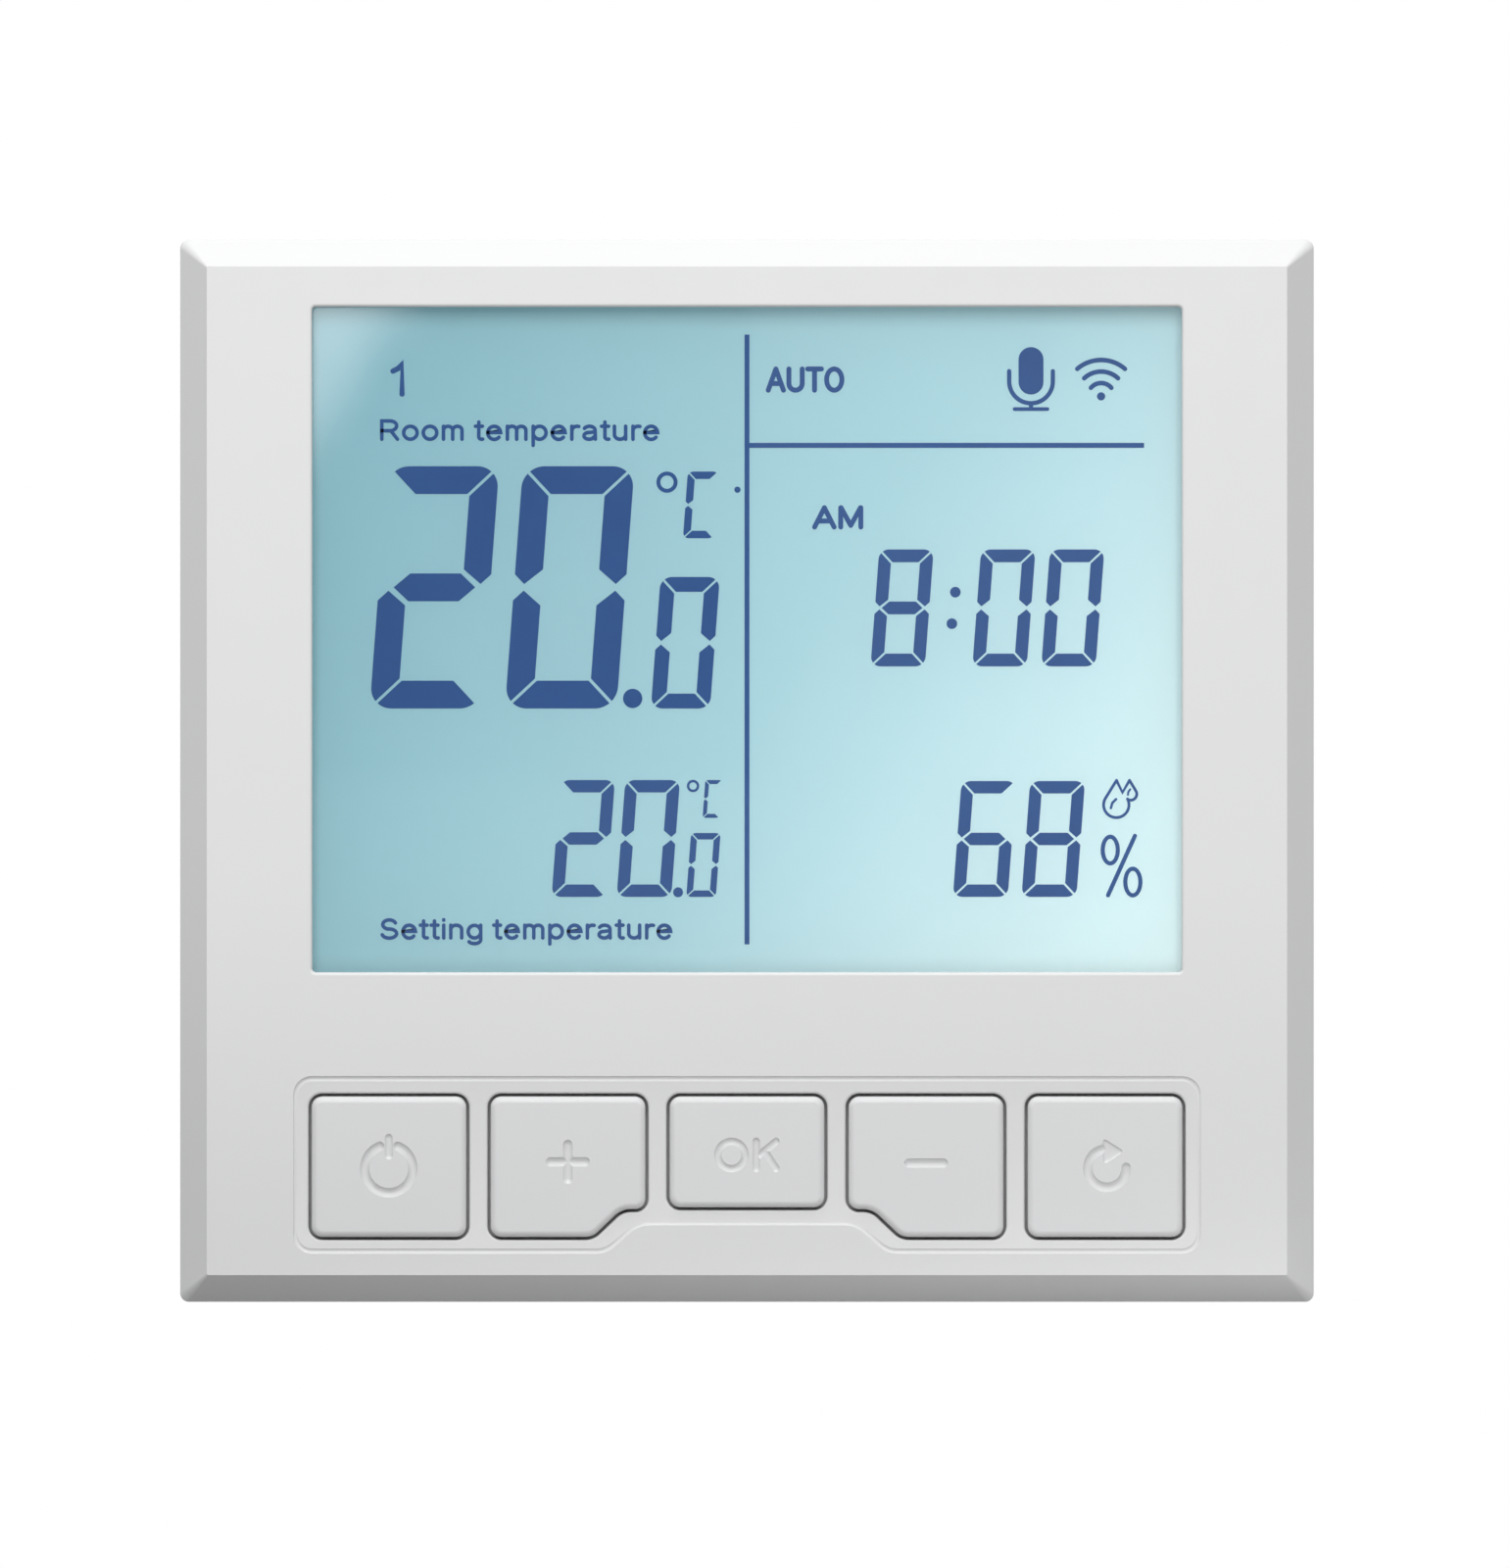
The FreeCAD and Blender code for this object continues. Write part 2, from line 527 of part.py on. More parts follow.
def wireless_board():
    x, z = WIRELESS_AT
    board = box(x - 8, x + 8, BOARD_BACK, BOARD_BACK + 0.8, z - 12, z + 12)
    half_holes = [rod_y(x + sx * 8, z - 10.5 + 2.0 * i, 0.4, BOARD_BACK - 1, BOARD_BACK + 2)
                  for sx in (-1, 1) for i in range(8)]
    return board.cut(half_holes)


def wireless_shield():
    """Pressed metal can over the radio chips."""
    x, z = WIRELESS_AT
    y = BOARD_BACK + 0.8
    can = box(x - 6.5, x + 6.5, y, y + 1.5, z - 10.5, z + 5.0)
    can = rounded(can, 0.4, lambda e: flat_at(e, y + 1.5))
    return can.cut(box(x - 6.2, x + 6.2, y - 1, y + 1.2, z - 10.2, z + 4.7))


def air_sensor():
    """Temperature and humidity sensor by the lower air slots, with its sensing hole."""
    x, z, y = 34.2, -37.0, BOARD_BACK
    body = box(x - 1.5, x + 1.5, y, y + 1.1, z - 1.5, z + 1.5)
    return body.cut(rod_y(x, z, 0.6, y + 0.6, y + 2))


def backup_cell():
    """Coin cell that keeps the clock going."""
    cell = rod_y(-24.0, -26.0, 6.25, BOARD_BACK + 0.25, BOARD_BACK + 2.05)
    return rounded(cell, 0.3, lambda e: flat_at(e, BOARD_BACK + 2.05))


def cell_clip():
    """Sprung strap over the coin cell, soldered at both ends."""
    x, z, y = -24.0, -26.0, BOARD_BACK
    top = box(x - 7.4, x + 7.4, y + 2.1, y + 2.35, z - 2.5, z + 2.5)
    legs = [box(x + sx * 7.25 - 0.15, x + sx * 7.25 + 0.15, y, y + 2.35, z - 2.5, z + 2.5) for sx in (-1, 1)]
    feet = [box(x + sx * 8.3 - 1.2, x + sx * 8.3 + 1.2, y, y + 0.25, z - 2.5, z + 2.5) for sx in (-1, 1)]
    return fuse([top] + legs + feet)


def pin_places():
    """(x, z) of every pin of the board-to-board connector."""
    columns = [(i - (HEADER_COLUMNS - 1) / 2) * HEADER_PITCH for i in range(HEADER_COLUMNS)]
    rows = [HEADER_Z + (j - (HEADER_ROWS - 1) / 2) * HEADER_PITCH for j in range(HEADER_ROWS)]
    return [(x, z) for x in columns for z in rows]


def pin_prisms(half, y0, y1):
    """A square prism at every pin's place."""
    return [box(x - half, x + half, y0, y1, z - half, z + half) for x, z in pin_places()]


PIN_HALF = 0.32
HEADER_BACK = BOARD_BACK + 2.5
SOCKET_FRONT = -0.9


def pin_header():
    half_w = HEADER_COLUMNS * HEADER_PITCH / 2
    body = box(-half_w, half_w, BOARD_BACK, HEADER_BACK, HEADER_Z - HEADER_PITCH, HEADER_Z + HEADER_PITCH)
    return body.cut(pin_prisms(PIN_HALF, BOARD_BACK - 1, HEADER_BACK + 1))


def header_pins():
    """Square pins from the control board, through the header, into the socket."""
    return pin_prisms(PIN_HALF, BOARD_BACK, SOCKET_FRONT + 3.0)


def board_screws():
    return [pan_screw(sx * BOARD_SCREW_X, z, BOARD_BACK, 1.8, 1.2, 0.95, 6.0)
            for sx in (-1, 1) for z in BOARD_SCREW_Z]


# ---------------------------------------------------------------- back of the front module
POCKET_Y = -4.4                      # floor of the pockets that clear the wall-box screws' heads


def slot_places():
    return [-SCREW_PITCH / 2, SCREW_PITCH / 2]


def back_cover():
    """Plate that closes the front module, with wells and pockets for screws, air slots and an opening."""
    back = BACK_COVER_Y + BACK_COVER_T
    plate = slab(rectangle(CAVITY_W - 0.3, -CAVITY_H + 0.3, CAVITY_H - 0.3, 0.8), BACK_COVER_Y, back)
    wells = [rod_y(x, z, 2.75, -5.0, back) for x, z in four_ways(*CASE_SCREW_AT)]
    rims = [box(sx * 30 - 6, sx * 30 + 6, BOARD_BACK + 0.1, BACK_COVER_Y, sz * 39.4 - 0.6, sz * 39.4 + 0.6)
            for sx in (-1, 1) for sz in (-1, 1)]
    pockets = [slab(at(x, 0, rectangle(6.8, -5.3, 5.3, 1.5)), POCKET_Y - 0.7, back) for x in slot_places()]
    body = fuse([plate] + wells + rims + pockets)
    cutters = latch_notches(-6, 0)
    cutters += [slab(at(x, 0, rectangle(6.1, -4.6, 4.6, 0.8)), POCKET_Y, 0) for x in slot_places()]
    for x, z in four_ways(*CASE_SCREW_AT):
        cutters += [rod_y(x, z, 2.2, -3.4, 0), rod_y(x, z, 1.35, -6, 0)]
    cutters.append(box(-7.2, 7.2, -6, 0, HEADER_Z - 3.4, HEADER_Z + 3.4))
    for i in range(9):
        x = (i - 4) * 5.0
        cutters += [box(x - 0.8, x + 0.8, -6, 0, z - 4.5, z + 4.5) for z in (-31.0, 31.0)]
    return body.cut(cutters)


def case_screws():
    return [pan_screw(x, z, -3.4, 2.0, 1.5, 1.25, 8.5) for x, z in four_ways(*CASE_SCREW_AT)]


# ---------------------------------------------------------------- wall base
def mounting_plate():
    """Steel plate with a flat rim on the wall, slots for the wall-box screws and countersunk holes."""
    plate = slab(rectangle(43.2, -40.3, 40.3, 2.0), -SHEET_STEEL, 0)
    slot = rectangle(SLOT_LENGTH / 2, -SLOT_R, SLOT_R, SLOT_R)
    cutters = [slab(rectangle(38.0, -35.0, 35.0, 1.5), PLATE_BACK, 1)]
    cutters.append(slab(rectangle(23.0, -25.5, 25.5, 1.5), -2, 1))
    cutters += [slab(at(x, 0, slot), -2, 1) for x in slot_places()]
    for x, z in four_ways(*HOUSING_EAR):
        cutters += [rod_y(x, z, 1.35, -2, 1), cone_y(x, z, 2.3, 1.3, -SHEET_STEEL, PLATE_BACK)]
    return plate.cut(cutters)


def ribbon(points, thickness):
    """Corners of a strip of even thickness along an open line of (x, y) points."""
    sides = []
    for sign in (1, -1):
        side = []
        for i, (x, y) in enumerate(points):
            before = unit(points[i - 1], points[i]) if i else unit(points[0], points[1])
            after = unit(points[i], points[i + 1]) if i + 1 < len(points) else before
            scale = sign * thickness / 2 / (1 + before[0] * after[0] + before[1] * after[1])
            side.append((x - (before[1] + after[1]) * scale, y + (before[0] + after[0]) * scale))
        sides.append(side)
    return sides[0] + sides[1][::-1]


def latch_springs():
    """Four leaf springs on the plate. Each has a foot, an arm and a bump that fits a groove in the cover."""
    line = [(40.5, -1.2), (42.7, -1.2), (42.7, -3.1), (44.1, -4.1), (42.7, -5.1), (42.4, -6.4)]
    made = []
    for sx in (-1, 1):
        for z in LATCH_Z:
            points = [Vector(sx * x, y, z - LATCH_HALF) for x, y in ribbon(line, 0.4)]
            strip = Part.Face(Part.makePolygon(points + points[:1]))
            made.append(strip.extrude(Vector(0, 0, 2 * LATCH_HALF)))
    return made


def power_housing():
    """Rear box. Its lower step is open at the back and below, where the terminal block sits."""
    half = HOUSING_W / 2
    outer = slab(rectangle(half, HOUSING_BOTTOM, HOUSING_TOP, 2.0), PLATE_BACK, TERMINAL_DEPTH)
    deep = slab(rectangle(half, STEP_TOP, HOUSING_TOP, 2.0), TERMINAL_DEPTH - 4, HOUSING_DEPTH)
    deep = rounded(deep, 1.0, lambda e: flat_at(e, HOUSING_DEPTH))
    ears = [rod_y(x, z, 3.0, PLATE_BACK, 6.0) for x, z in four_ways(*HOUSING_EAR)]
    webs = [box(min(x, 0.85 * x), max(x, 0.85 * x), PLATE_BACK, 6.0, z - 3.0, z + 3.0)
            for x, z in four_ways(*HOUSING_EAR)]
    body = fuse([outer, deep] + ears + webs)
    inner = half - HOUSING_WALL
    floor_y, roof = HOUSING_DEPTH - HOUSING_WALL, HOUSING_TOP - HOUSING_WALL
    cutters = [
        box(-inner, inner, -1, floor_y, STEP_TOP + HOUSING_WALL, roof),
        box(-inner, inner, -1, SUPPLY_BOARD_BACK + 0.2, HOUSING_BOTTOM + 0.8, 0),
        box(-inner, inner, SUPPLY_BOARD_BACK, HOUSING_DEPTH, HOUSING_BOTTOM - 1, STEP_TOP),
    ]
    cutters += [rod_y(x, z, 1.15, -1, 5.0) for x, z in four_ways(*HOUSING_EAR)]
    for i in range(7):
        x = (i - 3) * 5.0
        cutters.append(box(x - 1.0, x + 1.0, 12.0, 22.0, HOUSING_TOP - 3, HOUSING_TOP + 1))
    body = body.cut(cutters)
    ledges = [box(sx * 23.3 - 0.9, sx * 23.3 + 0.9, SUPPLY_BOARD_BACK + 0.05, 10.0, z - 2, z + 2)
              for sx in (-1, 1) for z in (-8.0, 22.0)]
    return fuse([body] + ledges)


def housing_lid():
    """Insulating lid in the housing's mouth, raised through the plate's cut-out round the socket."""
    base_y = PLATE_BACK + 0.05
    base = box(-23.8, 23.8, base_y, base_y + 1.05, HOUSING_BOTTOM + 1.0, HOUSING_TOP - 2.2)
    pad = slab(rectangle(22.7, -25.2, 25.2, 1.2), -0.85, base_y)
    posts = [rod_y(sx * 20.5, z, 1.6, base_y + 1.05, SUPPLY_BOARD_Y - 0.05)
             for sx in (-1, 1) for z in (-22.0, 20.0)]
    body = fuse([base, pad] + posts)
    half_w = HEADER_COLUMNS * HEADER_PITCH / 2 + 0.3
    return body.cut(box(-half_w, half_w, -2, 2, HEADER_Z - 2.85, HEADER_Z + 2.85))


def housing_screws():
    """Countersunk screws that hold the housing to the steel plate."""
    made = []
    for x, z in four_ways(*HOUSING_EAR):
        head = cone_y(x, z, 2.2, 1.1, -SHEET_STEEL, PLATE_BACK)
        shank = fuse([rod_y(x, z, 1.1, PLATE_BACK, 4.0), cone_y(x, z, 1.1, 0.5, 4.0, 4.6)])
        made.append(fuse([head, shank]).cut(cross_recess(x, z, -SHEET_STEEL - 0.1, 0.8, 1.2, 0.5)))
    return made


def power_board():
    front, back = SUPPLY_BOARD_Y, SUPPLY_BOARD_BACK
    body = box(-23.6, 23.6, front, back, HOUSING_BOTTOM + 1.0, HOUSING_TOP - 2.3)
    legs = [box(x - 0.6, x + 0.6, front - 1, back + 1, CONTACT_LEG - 0.5, CONTACT_LEG + 0.5)
            for x in pole_places()]
    return body.cut(legs)


def board_socket():
    """Low socket on the power board that the header's pins plug into."""
    half_w = HEADER_COLUMNS * HEADER_PITCH / 2
    low, high = HEADER_Z - HEADER_PITCH, HEADER_Z + HEADER_PITCH
    body = box(-half_w, half_w, SOCKET_FRONT, SUPPLY_BOARD_Y, low, high)
    return body.cut(pin_prisms(PIN_HALF + 0.13, SOCKET_FRONT - 1, SOCKET_FRONT + 3.3))


def relay():
    """Sealed power relay."""
    y = SUPPLY_BOARD_BACK
    case = box(-21.8, -2.8, y, y + 15.5, 10.0, 25.6)
    case = rounded(case, 0.6, lambda e: flat_at(e, y + 15.5))
    return case.cut(rod_y(-19.0, 22.5, 0.6, y + 15.0, y + 16))


TRANSFORMER_AT = (12.5, 16.5)


def transformer_core():
    """Pair of E-shaped ferrite halves round the coil."""
    x, z = TRANSFORMER_AT
    y = SUPPLY_BOARD_BACK + 2.0
    frame = box(x - 9.0, x + 9.0, y, y + 13.0, z - 4.0, z + 4.0)
    windows = [box(x + x0, x + x1, y + 2.2, y + 10.8, z - 5, z + 5) for x0, x1 in ((-6.6, -2.2), (2.2, 6.6))]
    return frame.cut(windows)


def transformer_coil():
    """Bobbin with its taped winding, on four pins."""
    x, z = TRANSFORMER_AT
    y = SUPPLY_BOARD_BACK
    winding = box(x - 6.4, x + 6.4, y + 4.4, y + 12.6, z - 7.6, z + 7.6)
    winding = rounded(winding, 1.5, lambda e: abs(e.tangentAt(e.FirstParameter).y) > 0.99)
    base = box(x - 8.0, x + 8.0, y + 0.05, y + 1.9, z - 8.2, z + 8.2)
    stem = box(x - 6.4, x + 6.4, y + 1.9, y + 4.4, z - 7.0, z - 4.2)
    stem_top = box(x - 6.4, x + 6.4, y + 1.9, y + 4.4, z + 4.2, z + 7.0)
    core_room = [box(x - 2.3, x + 2.3, y + 3.0, y + 14.0, z - 4.1, z + 4.1)]
    return fuse([winding, base, stem, stem_top]).cut(core_room)


def supply_capacitors():
    """Two electrolytic capacitors with scored tops, and a boxed film capacitor."""
    y = SUPPLY_BOARD_BACK
    made = []
    for x, z, radius, height in ((-17.5, 2.5, 4.0, 12.5), (-8.0, 2.5, 3.1, 9.0)):
        can = rod_y(x, z, radius, y, y + height)
        can = rounded(can, 0.4, lambda e: flat_at(e, y + height))
        score = cross_recess(x, z, y + height - 0.2, 1.2, radius * 0.6, 0.3)
        neck = rod_y(x, z, radius + 1, y + 1.2, y + 1.7).cut(rod_y(x, z, radius - 0.25, y + 1.1, y + 1.8))
        made.append(can.cut([score, neck]))
    film = box(8.0, 20.5, y, y + 11.0, -0.5, 4.8)
    made.append(rounded(film, 0.5, lambda e: flat_at(e, y + 11.0)))
    return made


def varistor():
    """Coated disc on edge across the mains input."""
    y = SUPPLY_BOARD_BACK
    disc = Part.makeCylinder(5.0, 3.4, Vector(1.0, y + 6.5, 1.5), Vector(0, 0, 1))
    disc = rounded(disc, 1.2, lambda e: e.Curve.TypeId == "Part::GeomCircle")
    wires = [rod_y(1.0 + sx * 2.5, 3.2, 0.4, y, y + 3.0) for sx in (-1, 1)]
    return fuse([disc] + wires)


def fuse_link():
    """Glass fuse in a sleeve, lying across the board."""
    y, z = SUPPLY_BOARD_BACK + 3.3, -8.0
    tube = rod_x(y, z, 2.4, -7.0, 7.0)
    caps = [rod_x(y, z, 2.7, -10.0, -6.5), rod_x(y, z, 2.7, 6.5, 10.0)]
    leads = [rod_y(sx * 8.25, z, 0.5, SUPPLY_BOARD_BACK, y - 2.0) for sx in (-1, 1)]
    return fuse([tube] + caps + leads)


# ---------------------------------------------------------------- terminals
BLOCK_Y = SUPPLY_BOARD_BACK + 0.3
BLOCK_Z = (HOUSING_BOTTOM, STEP_TOP - 0.1)
CAGE_ROOM_Y = (5.6, 13.2)            # cavity that a clamp rises in
CAGE_Y, CAGE_H = 5.8, 5.4            # clamp at rest, fully open
CAGE_Z = (-27.8, -21.4)
CONTACT_LEG = -20.2
SCREW_Z = -24.6
CLAMP_SCREW_R = 1.45
HEAD_SEAT_Y = 14.2


def pole_places():
    return [(i - (POLES - 1) / 2) * POLE_PITCH for i in range(POLES)]


def terminal_block():
    """Moulded block with a cavity and a screw well for each pole."""
    body = box(-24.0, 24.0, BLOCK_Y, TERMINAL_DEPTH, *BLOCK_Z)
    body = body.makeChamfer(0.5, [e for e in body.Edges if flat_at(e, TERMINAL_DEPTH)
                                  and abs(e.BoundBox.ZMax - HOUSING_BOTTOM) < 1e-4])
    cutters = []
    for x in pole_places():
        cutters += [
            box(x - 2.8, x + 2.8, *CAGE_ROOM_Y, HOUSING_BOTTOM - 1, -19.4),
            rod_y(x, SCREW_Z, 2.15, HEAD_SEAT_Y, TERMINAL_DEPTH + 1),
            rod_y(x, SCREW_Z, CLAMP_SCREW_R + 0.1, CAGE_ROOM_Y[1] - 1, HEAD_SEAT_Y + 1),
            box(x - 0.6, x + 0.6, BLOCK_Y - 1, CAGE_ROOM_Y[0] + 1, CONTACT_LEG - 0.5, CONTACT_LEG + 0.5),
        ]
    for i in range(POLES + 1):
        x = (i - POLES / 2) * POLE_PITCH
        cutters.append(box(x - 0.3, x + 0.3, TERMINAL_DEPTH - 1.0, TERMINAL_DEPTH + 1,
                           BLOCK_Z[0] - 1, BLOCK_Z[1] + 1))
    return body.cut(cutters)


def contact_plates():
    """Fixed contact tongue of each pole, with its leg through the power board."""
    made = []
    for x in pole_places():
        tongue = box(x - 1.6, x + 1.6, 9.2, 10.0, -27.4, CONTACT_LEG + 0.4)
        leg = box(x - 0.5, x + 0.5, SUPPLY_BOARD_Y, 9.4, CONTACT_LEG - 0.4, CONTACT_LEG + 0.4)
        made.append(fuse([tongue, leg]))
    return made


def wire_clamp(x):
    """Rising cage that squeezes a wire against its contact tongue."""
    body = box(x - 2.6, x + 2.6, CAGE_Y, CAGE_Y + CAGE_H, *CAGE_Z)
    body = rounded(body, 0.5, lambda e: abs(e.tangentAt(e.FirstParameter).z) > 0.99)
    room = box(x - 1.9, x + 1.9, CAGE_Y + 0.8, CAGE_Y + CAGE_H - 1.0, CAGE_Z[0] - 1, CAGE_Z[1] + 1)
    return body.cut([room, rod_y(x, SCREW_Z, CLAMP_SCREW_R + 0.05, CAGE_Y + 3, CAGE_Y + CAGE_H + 1)])


def terminal_screw(x):
    """Captive clamp screw with a slotted head."""
    head_h = 1.7
    head = rod_y(x, SCREW_Z, 2.0, HEAD_SEAT_Y + 0.03, HEAD_SEAT_Y + head_h)
    head = rounded(head, 0.3, lambda e: flat_at(e, HEAD_SEAT_Y + head_h))
    shank = rod_y(x, SCREW_Z, CLAMP_SCREW_R, 10.05, HEAD_SEAT_Y + 0.03)
    slots = [box(x - 2.1, x + 2.1, HEAD_SEAT_Y + 0.8, HEAD_SEAT_Y + 3, SCREW_Z - 0.3, SCREW_Z + 0.3),
             box(x - 0.3, x + 0.3, HEAD_SEAT_Y + 0.8, HEAD_SEAT_Y + 3, SCREW_Z - 1.3, SCREW_Z + 1.3)]
    return fuse([head, shank]).cut(slots)


# ---------------------------------------------------------------- writing the parts
SINGLE = [
    front_cover, display_lens, lens_tape, backlight_guide, lcd_holder, contact_strip, control_board,
    controller_chip, wireless_board, wireless_shield, air_sensor, backup_cell, cell_clip, pin_header,
    back_cover, mounting_plate, power_housing, housing_lid, power_board, board_socket, relay,
    transformer_core, transformer_coil, varistor, fuse_link, terminal_block,
]
GROUPS = [
    lcd_glass, lcd_polarizers, backlight_sheets, backlight_leds, switch_bodies, header_pins, board_screws,
    case_screws, latch_springs, housing_screws, supply_capacitors, contact_plates,
]


def write(name, shape):
    if not shape.isValid() or any(solid.Volume <= 0 for solid in shape.Solids):
        raise ValueError(f"{name} is not a sound solid")
    shape.exportStep(f"parts/{name}.step")
    print(f"{name}: {len(shape.Solids)} solids, {shape.Volume:.1f} mm3")


def main():
    os.makedirs("parts", exist_ok=True)
    for make in SINGLE:
        write(make.__name__, make())
    for make in GROUPS:
        write(make.__name__, Part.makeCompound(make()))
    for name in KEY_SLOTS:
        write(f"key_{name}", keycap(name))
        write(f"plunger_{name}", plunger(name))
    for i, x in enumerate(pole_places(), 1):
        write(f"wire_clamp_{i}", wire_clamp(x))
        write(f"terminal_screw_{i}", terminal_screw(x))


main()
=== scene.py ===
import math

import bmesh
import bpy
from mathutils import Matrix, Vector


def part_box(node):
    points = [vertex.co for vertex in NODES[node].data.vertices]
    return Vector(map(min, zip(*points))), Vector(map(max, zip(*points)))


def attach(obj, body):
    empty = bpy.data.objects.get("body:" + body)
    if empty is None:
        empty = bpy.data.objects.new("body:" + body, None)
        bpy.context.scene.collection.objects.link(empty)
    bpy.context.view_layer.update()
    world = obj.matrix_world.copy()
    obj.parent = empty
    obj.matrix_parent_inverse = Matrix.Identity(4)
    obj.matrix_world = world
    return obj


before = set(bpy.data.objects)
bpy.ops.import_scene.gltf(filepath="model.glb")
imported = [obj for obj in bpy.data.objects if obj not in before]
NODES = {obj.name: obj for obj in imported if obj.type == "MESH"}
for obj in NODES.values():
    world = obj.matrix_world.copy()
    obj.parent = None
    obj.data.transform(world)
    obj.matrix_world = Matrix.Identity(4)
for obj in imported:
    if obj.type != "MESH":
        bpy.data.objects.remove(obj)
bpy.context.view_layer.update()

# A wall thermostat: white moulded cover and keys, a backlit segment display, and a rear housing for the
# wall box. Y runs into the wall, so the front faces -Y. Lengths in the tables below are in millimetres, apart
# from the stage's.
MM = 0.001
KEYS = "power", "plus", "ok", "minus", "reset"
POLES = range(1, 7)


# ---------------------------------------------------------------- node materials
def srgb(r, g, b):
    """Linear colour of 0-255 display values."""
    def linear(value):
        value /= 255
        return value / 12.92 if value <= 0.04045 else ((value + 0.055) / 1.055) ** 2.4
    return linear(r), linear(g), linear(b), 1.0


def shaded(color, by):
    return tuple(min(1.0, c * by) for c in color[:3]) + (1.0,)


def join(tree, socket, value):
    """Sets a socket to a value, or links another node's output to it."""
    if isinstance(value, bpy.types.NodeSocket):
        tree.links.new(value, socket)
    else:
        socket.default_value = value


def add_node(tree, kind, inputs=None, **settings):
    """A shader node with its settings, and with its inputs joined to values or to other nodes' outputs."""
    made = tree.nodes.new("ShaderNode" + kind)
    for key, value in settings.items():
        setattr(made, key, value)
    for key, value in (inputs or {}).items():
        join(tree, made.inputs[key], value)
    return made


# The display film's glow is painted light, standing in for the backlight that shines through it.
PANEL_GLOW = 0.27                    # strength of the display's own light
INK = srgb(73, 105, 164)
COVER_WHITE = (0.80, 0.80, 0.80, 1.0)
KEY_WHITE = (0.785, 0.787, 0.79, 1.0)
ZINC, STEEL, BRASS = srgb(200, 202, 204), srgb(192, 192, 194), srgb(206, 176, 104)
# Painted backlight on the display film, lighter towards the lower right: its place on the colour ramp at the
# window's middle, and its change per mm to the right, per mm up, and per mm of both.
BACKLIGHT_MIDDLE, BACKLIGHT_RIGHT, BACKLIGHT_UP, BACKLIGHT_BOTH = 0.452, 0.0097, -0.00574, -0.0000474


class Finish:
    """One material under construction. Textures use the object's own coordinates, in metres."""

    def __init__(self, name, roughness=0.5, metallic=0.0):
        self.material = bpy.data.materials.new(name)
        self.material.use_nodes = True
        self.tree = self.material.node_tree
        self.shader = self.tree.nodes["Principled BSDF"]
        self.set("Roughness", roughness)
        self.set("Metallic", metallic)
        coordinates = self.add("TexCoord")
        self.place = coordinates.outputs["Object"]
        self.normal = coordinates.outputs["Normal"]
        self.bumped = None

    def add(self, kind, inputs=None, **settings):
        return add_node(self.tree, kind, inputs, **settings)

    def set(self, name, value):
        join(self.tree, self.shader.inputs[name], value)

    def calc(self, operation, a, b=0.0):
        return self.add("Math", {0: a, 1: b}, operation=operation).outputs[0]

    def ramp(self, value, low, high, to_low=0.0, to_high=1.0, smooth=False):
        kind = "SMOOTHSTEP" if smooth else "LINEAR"
        return self.add("MapRange", {"Value": value, "From Min": low, "From Max": high,
                                     "To Min": to_low, "To Max": to_high}, interpolation_type=kind).outputs[0]

    def mix(self, factor, a, b):
        return self.add("Mix", {0: factor, 6: a, 7: b}, data_type="RGBA").outputs[2]

    def stretched(self, sx, sy, sz):
        return self.add("Mapping", {"Vector": self.place, "Scale": (sx, sy, sz)}).outputs[0]

    def noise(self, grain_mm, detail=2.0, where=None):
        """Noise whose blotches are about grain_mm across."""
        return self.add("TexNoise", {"Vector": where or self.place, "Scale": 1 / (grain_mm * MM),
                                     "Detail": detail}).outputs["Fac"]

    def axes(self, socket=None):
        split = self.add("SeparateXYZ", {0: socket or self.place})
        return split.outputs[0], split.outputs[1], split.outputs[2]

    def bump(self, height, depth_mm):
        """Relief of a height pattern, on top of any bump before it."""
        inputs = {"Height": height, "Distance": depth_mm * MM, "Strength": 1.0}
        if self.bumped is not None:
            inputs["Normal"] = self.bumped
        self.bumped = self.add("Bump", inputs).outputs[0]
        self.set("Normal", self.bumped)

    def mottle(self, color, spread, size_mm):
        """The colour, a little lighter and darker in soft blotches."""
        return self.mix(self.noise(size_mm), shaded(color, 1 - spread), shaded(color, 1 + spread))


def moulded(name, color, roughness=0.45, grain=0.3, depth=0.004, spread=0.02, coat=0.0):
    """Injection-moulded plastic with a fine spark texture."""
    f = Finish(name)
    f.set("Base Color", f.mottle(color, spread, 9.0))
    f.set("Roughness", f.ramp(f.noise(2.5), 0.3, 0.7, roughness - 0.04, roughness + 0.05))
    f.bump(f.noise(grain, 3.0), depth)
    f.set("Coat Weight", coat)
    f.set("Coat Roughness", 0.12)
    return f


def plated(name, color, roughness=0.3, along=(1, 1, 12), spread=0.08):
    """Rolled or drawn metal with a plated skin: streaks one way and soft passivation blotches."""
    f = Finish(name, metallic=1.0)
    streaks = f.noise(0.35, 4.0, f.stretched(*along))
    tint = f.mix(f.noise(6.0, 3.0), shaded(color, 1 - spread), shaded(color, 1 + spread / 2))
    f.set("Base Color", f.mix(f.ramp(streaks, 0.35, 0.65, 0.0, 0.25), tint, shaded(color, 0.8)))
    f.set("Roughness", f.ramp(streaks, 0.3, 0.7, roughness - 0.07, roughness + 0.1))
    f.bump(streaks, 0.004)
    return f


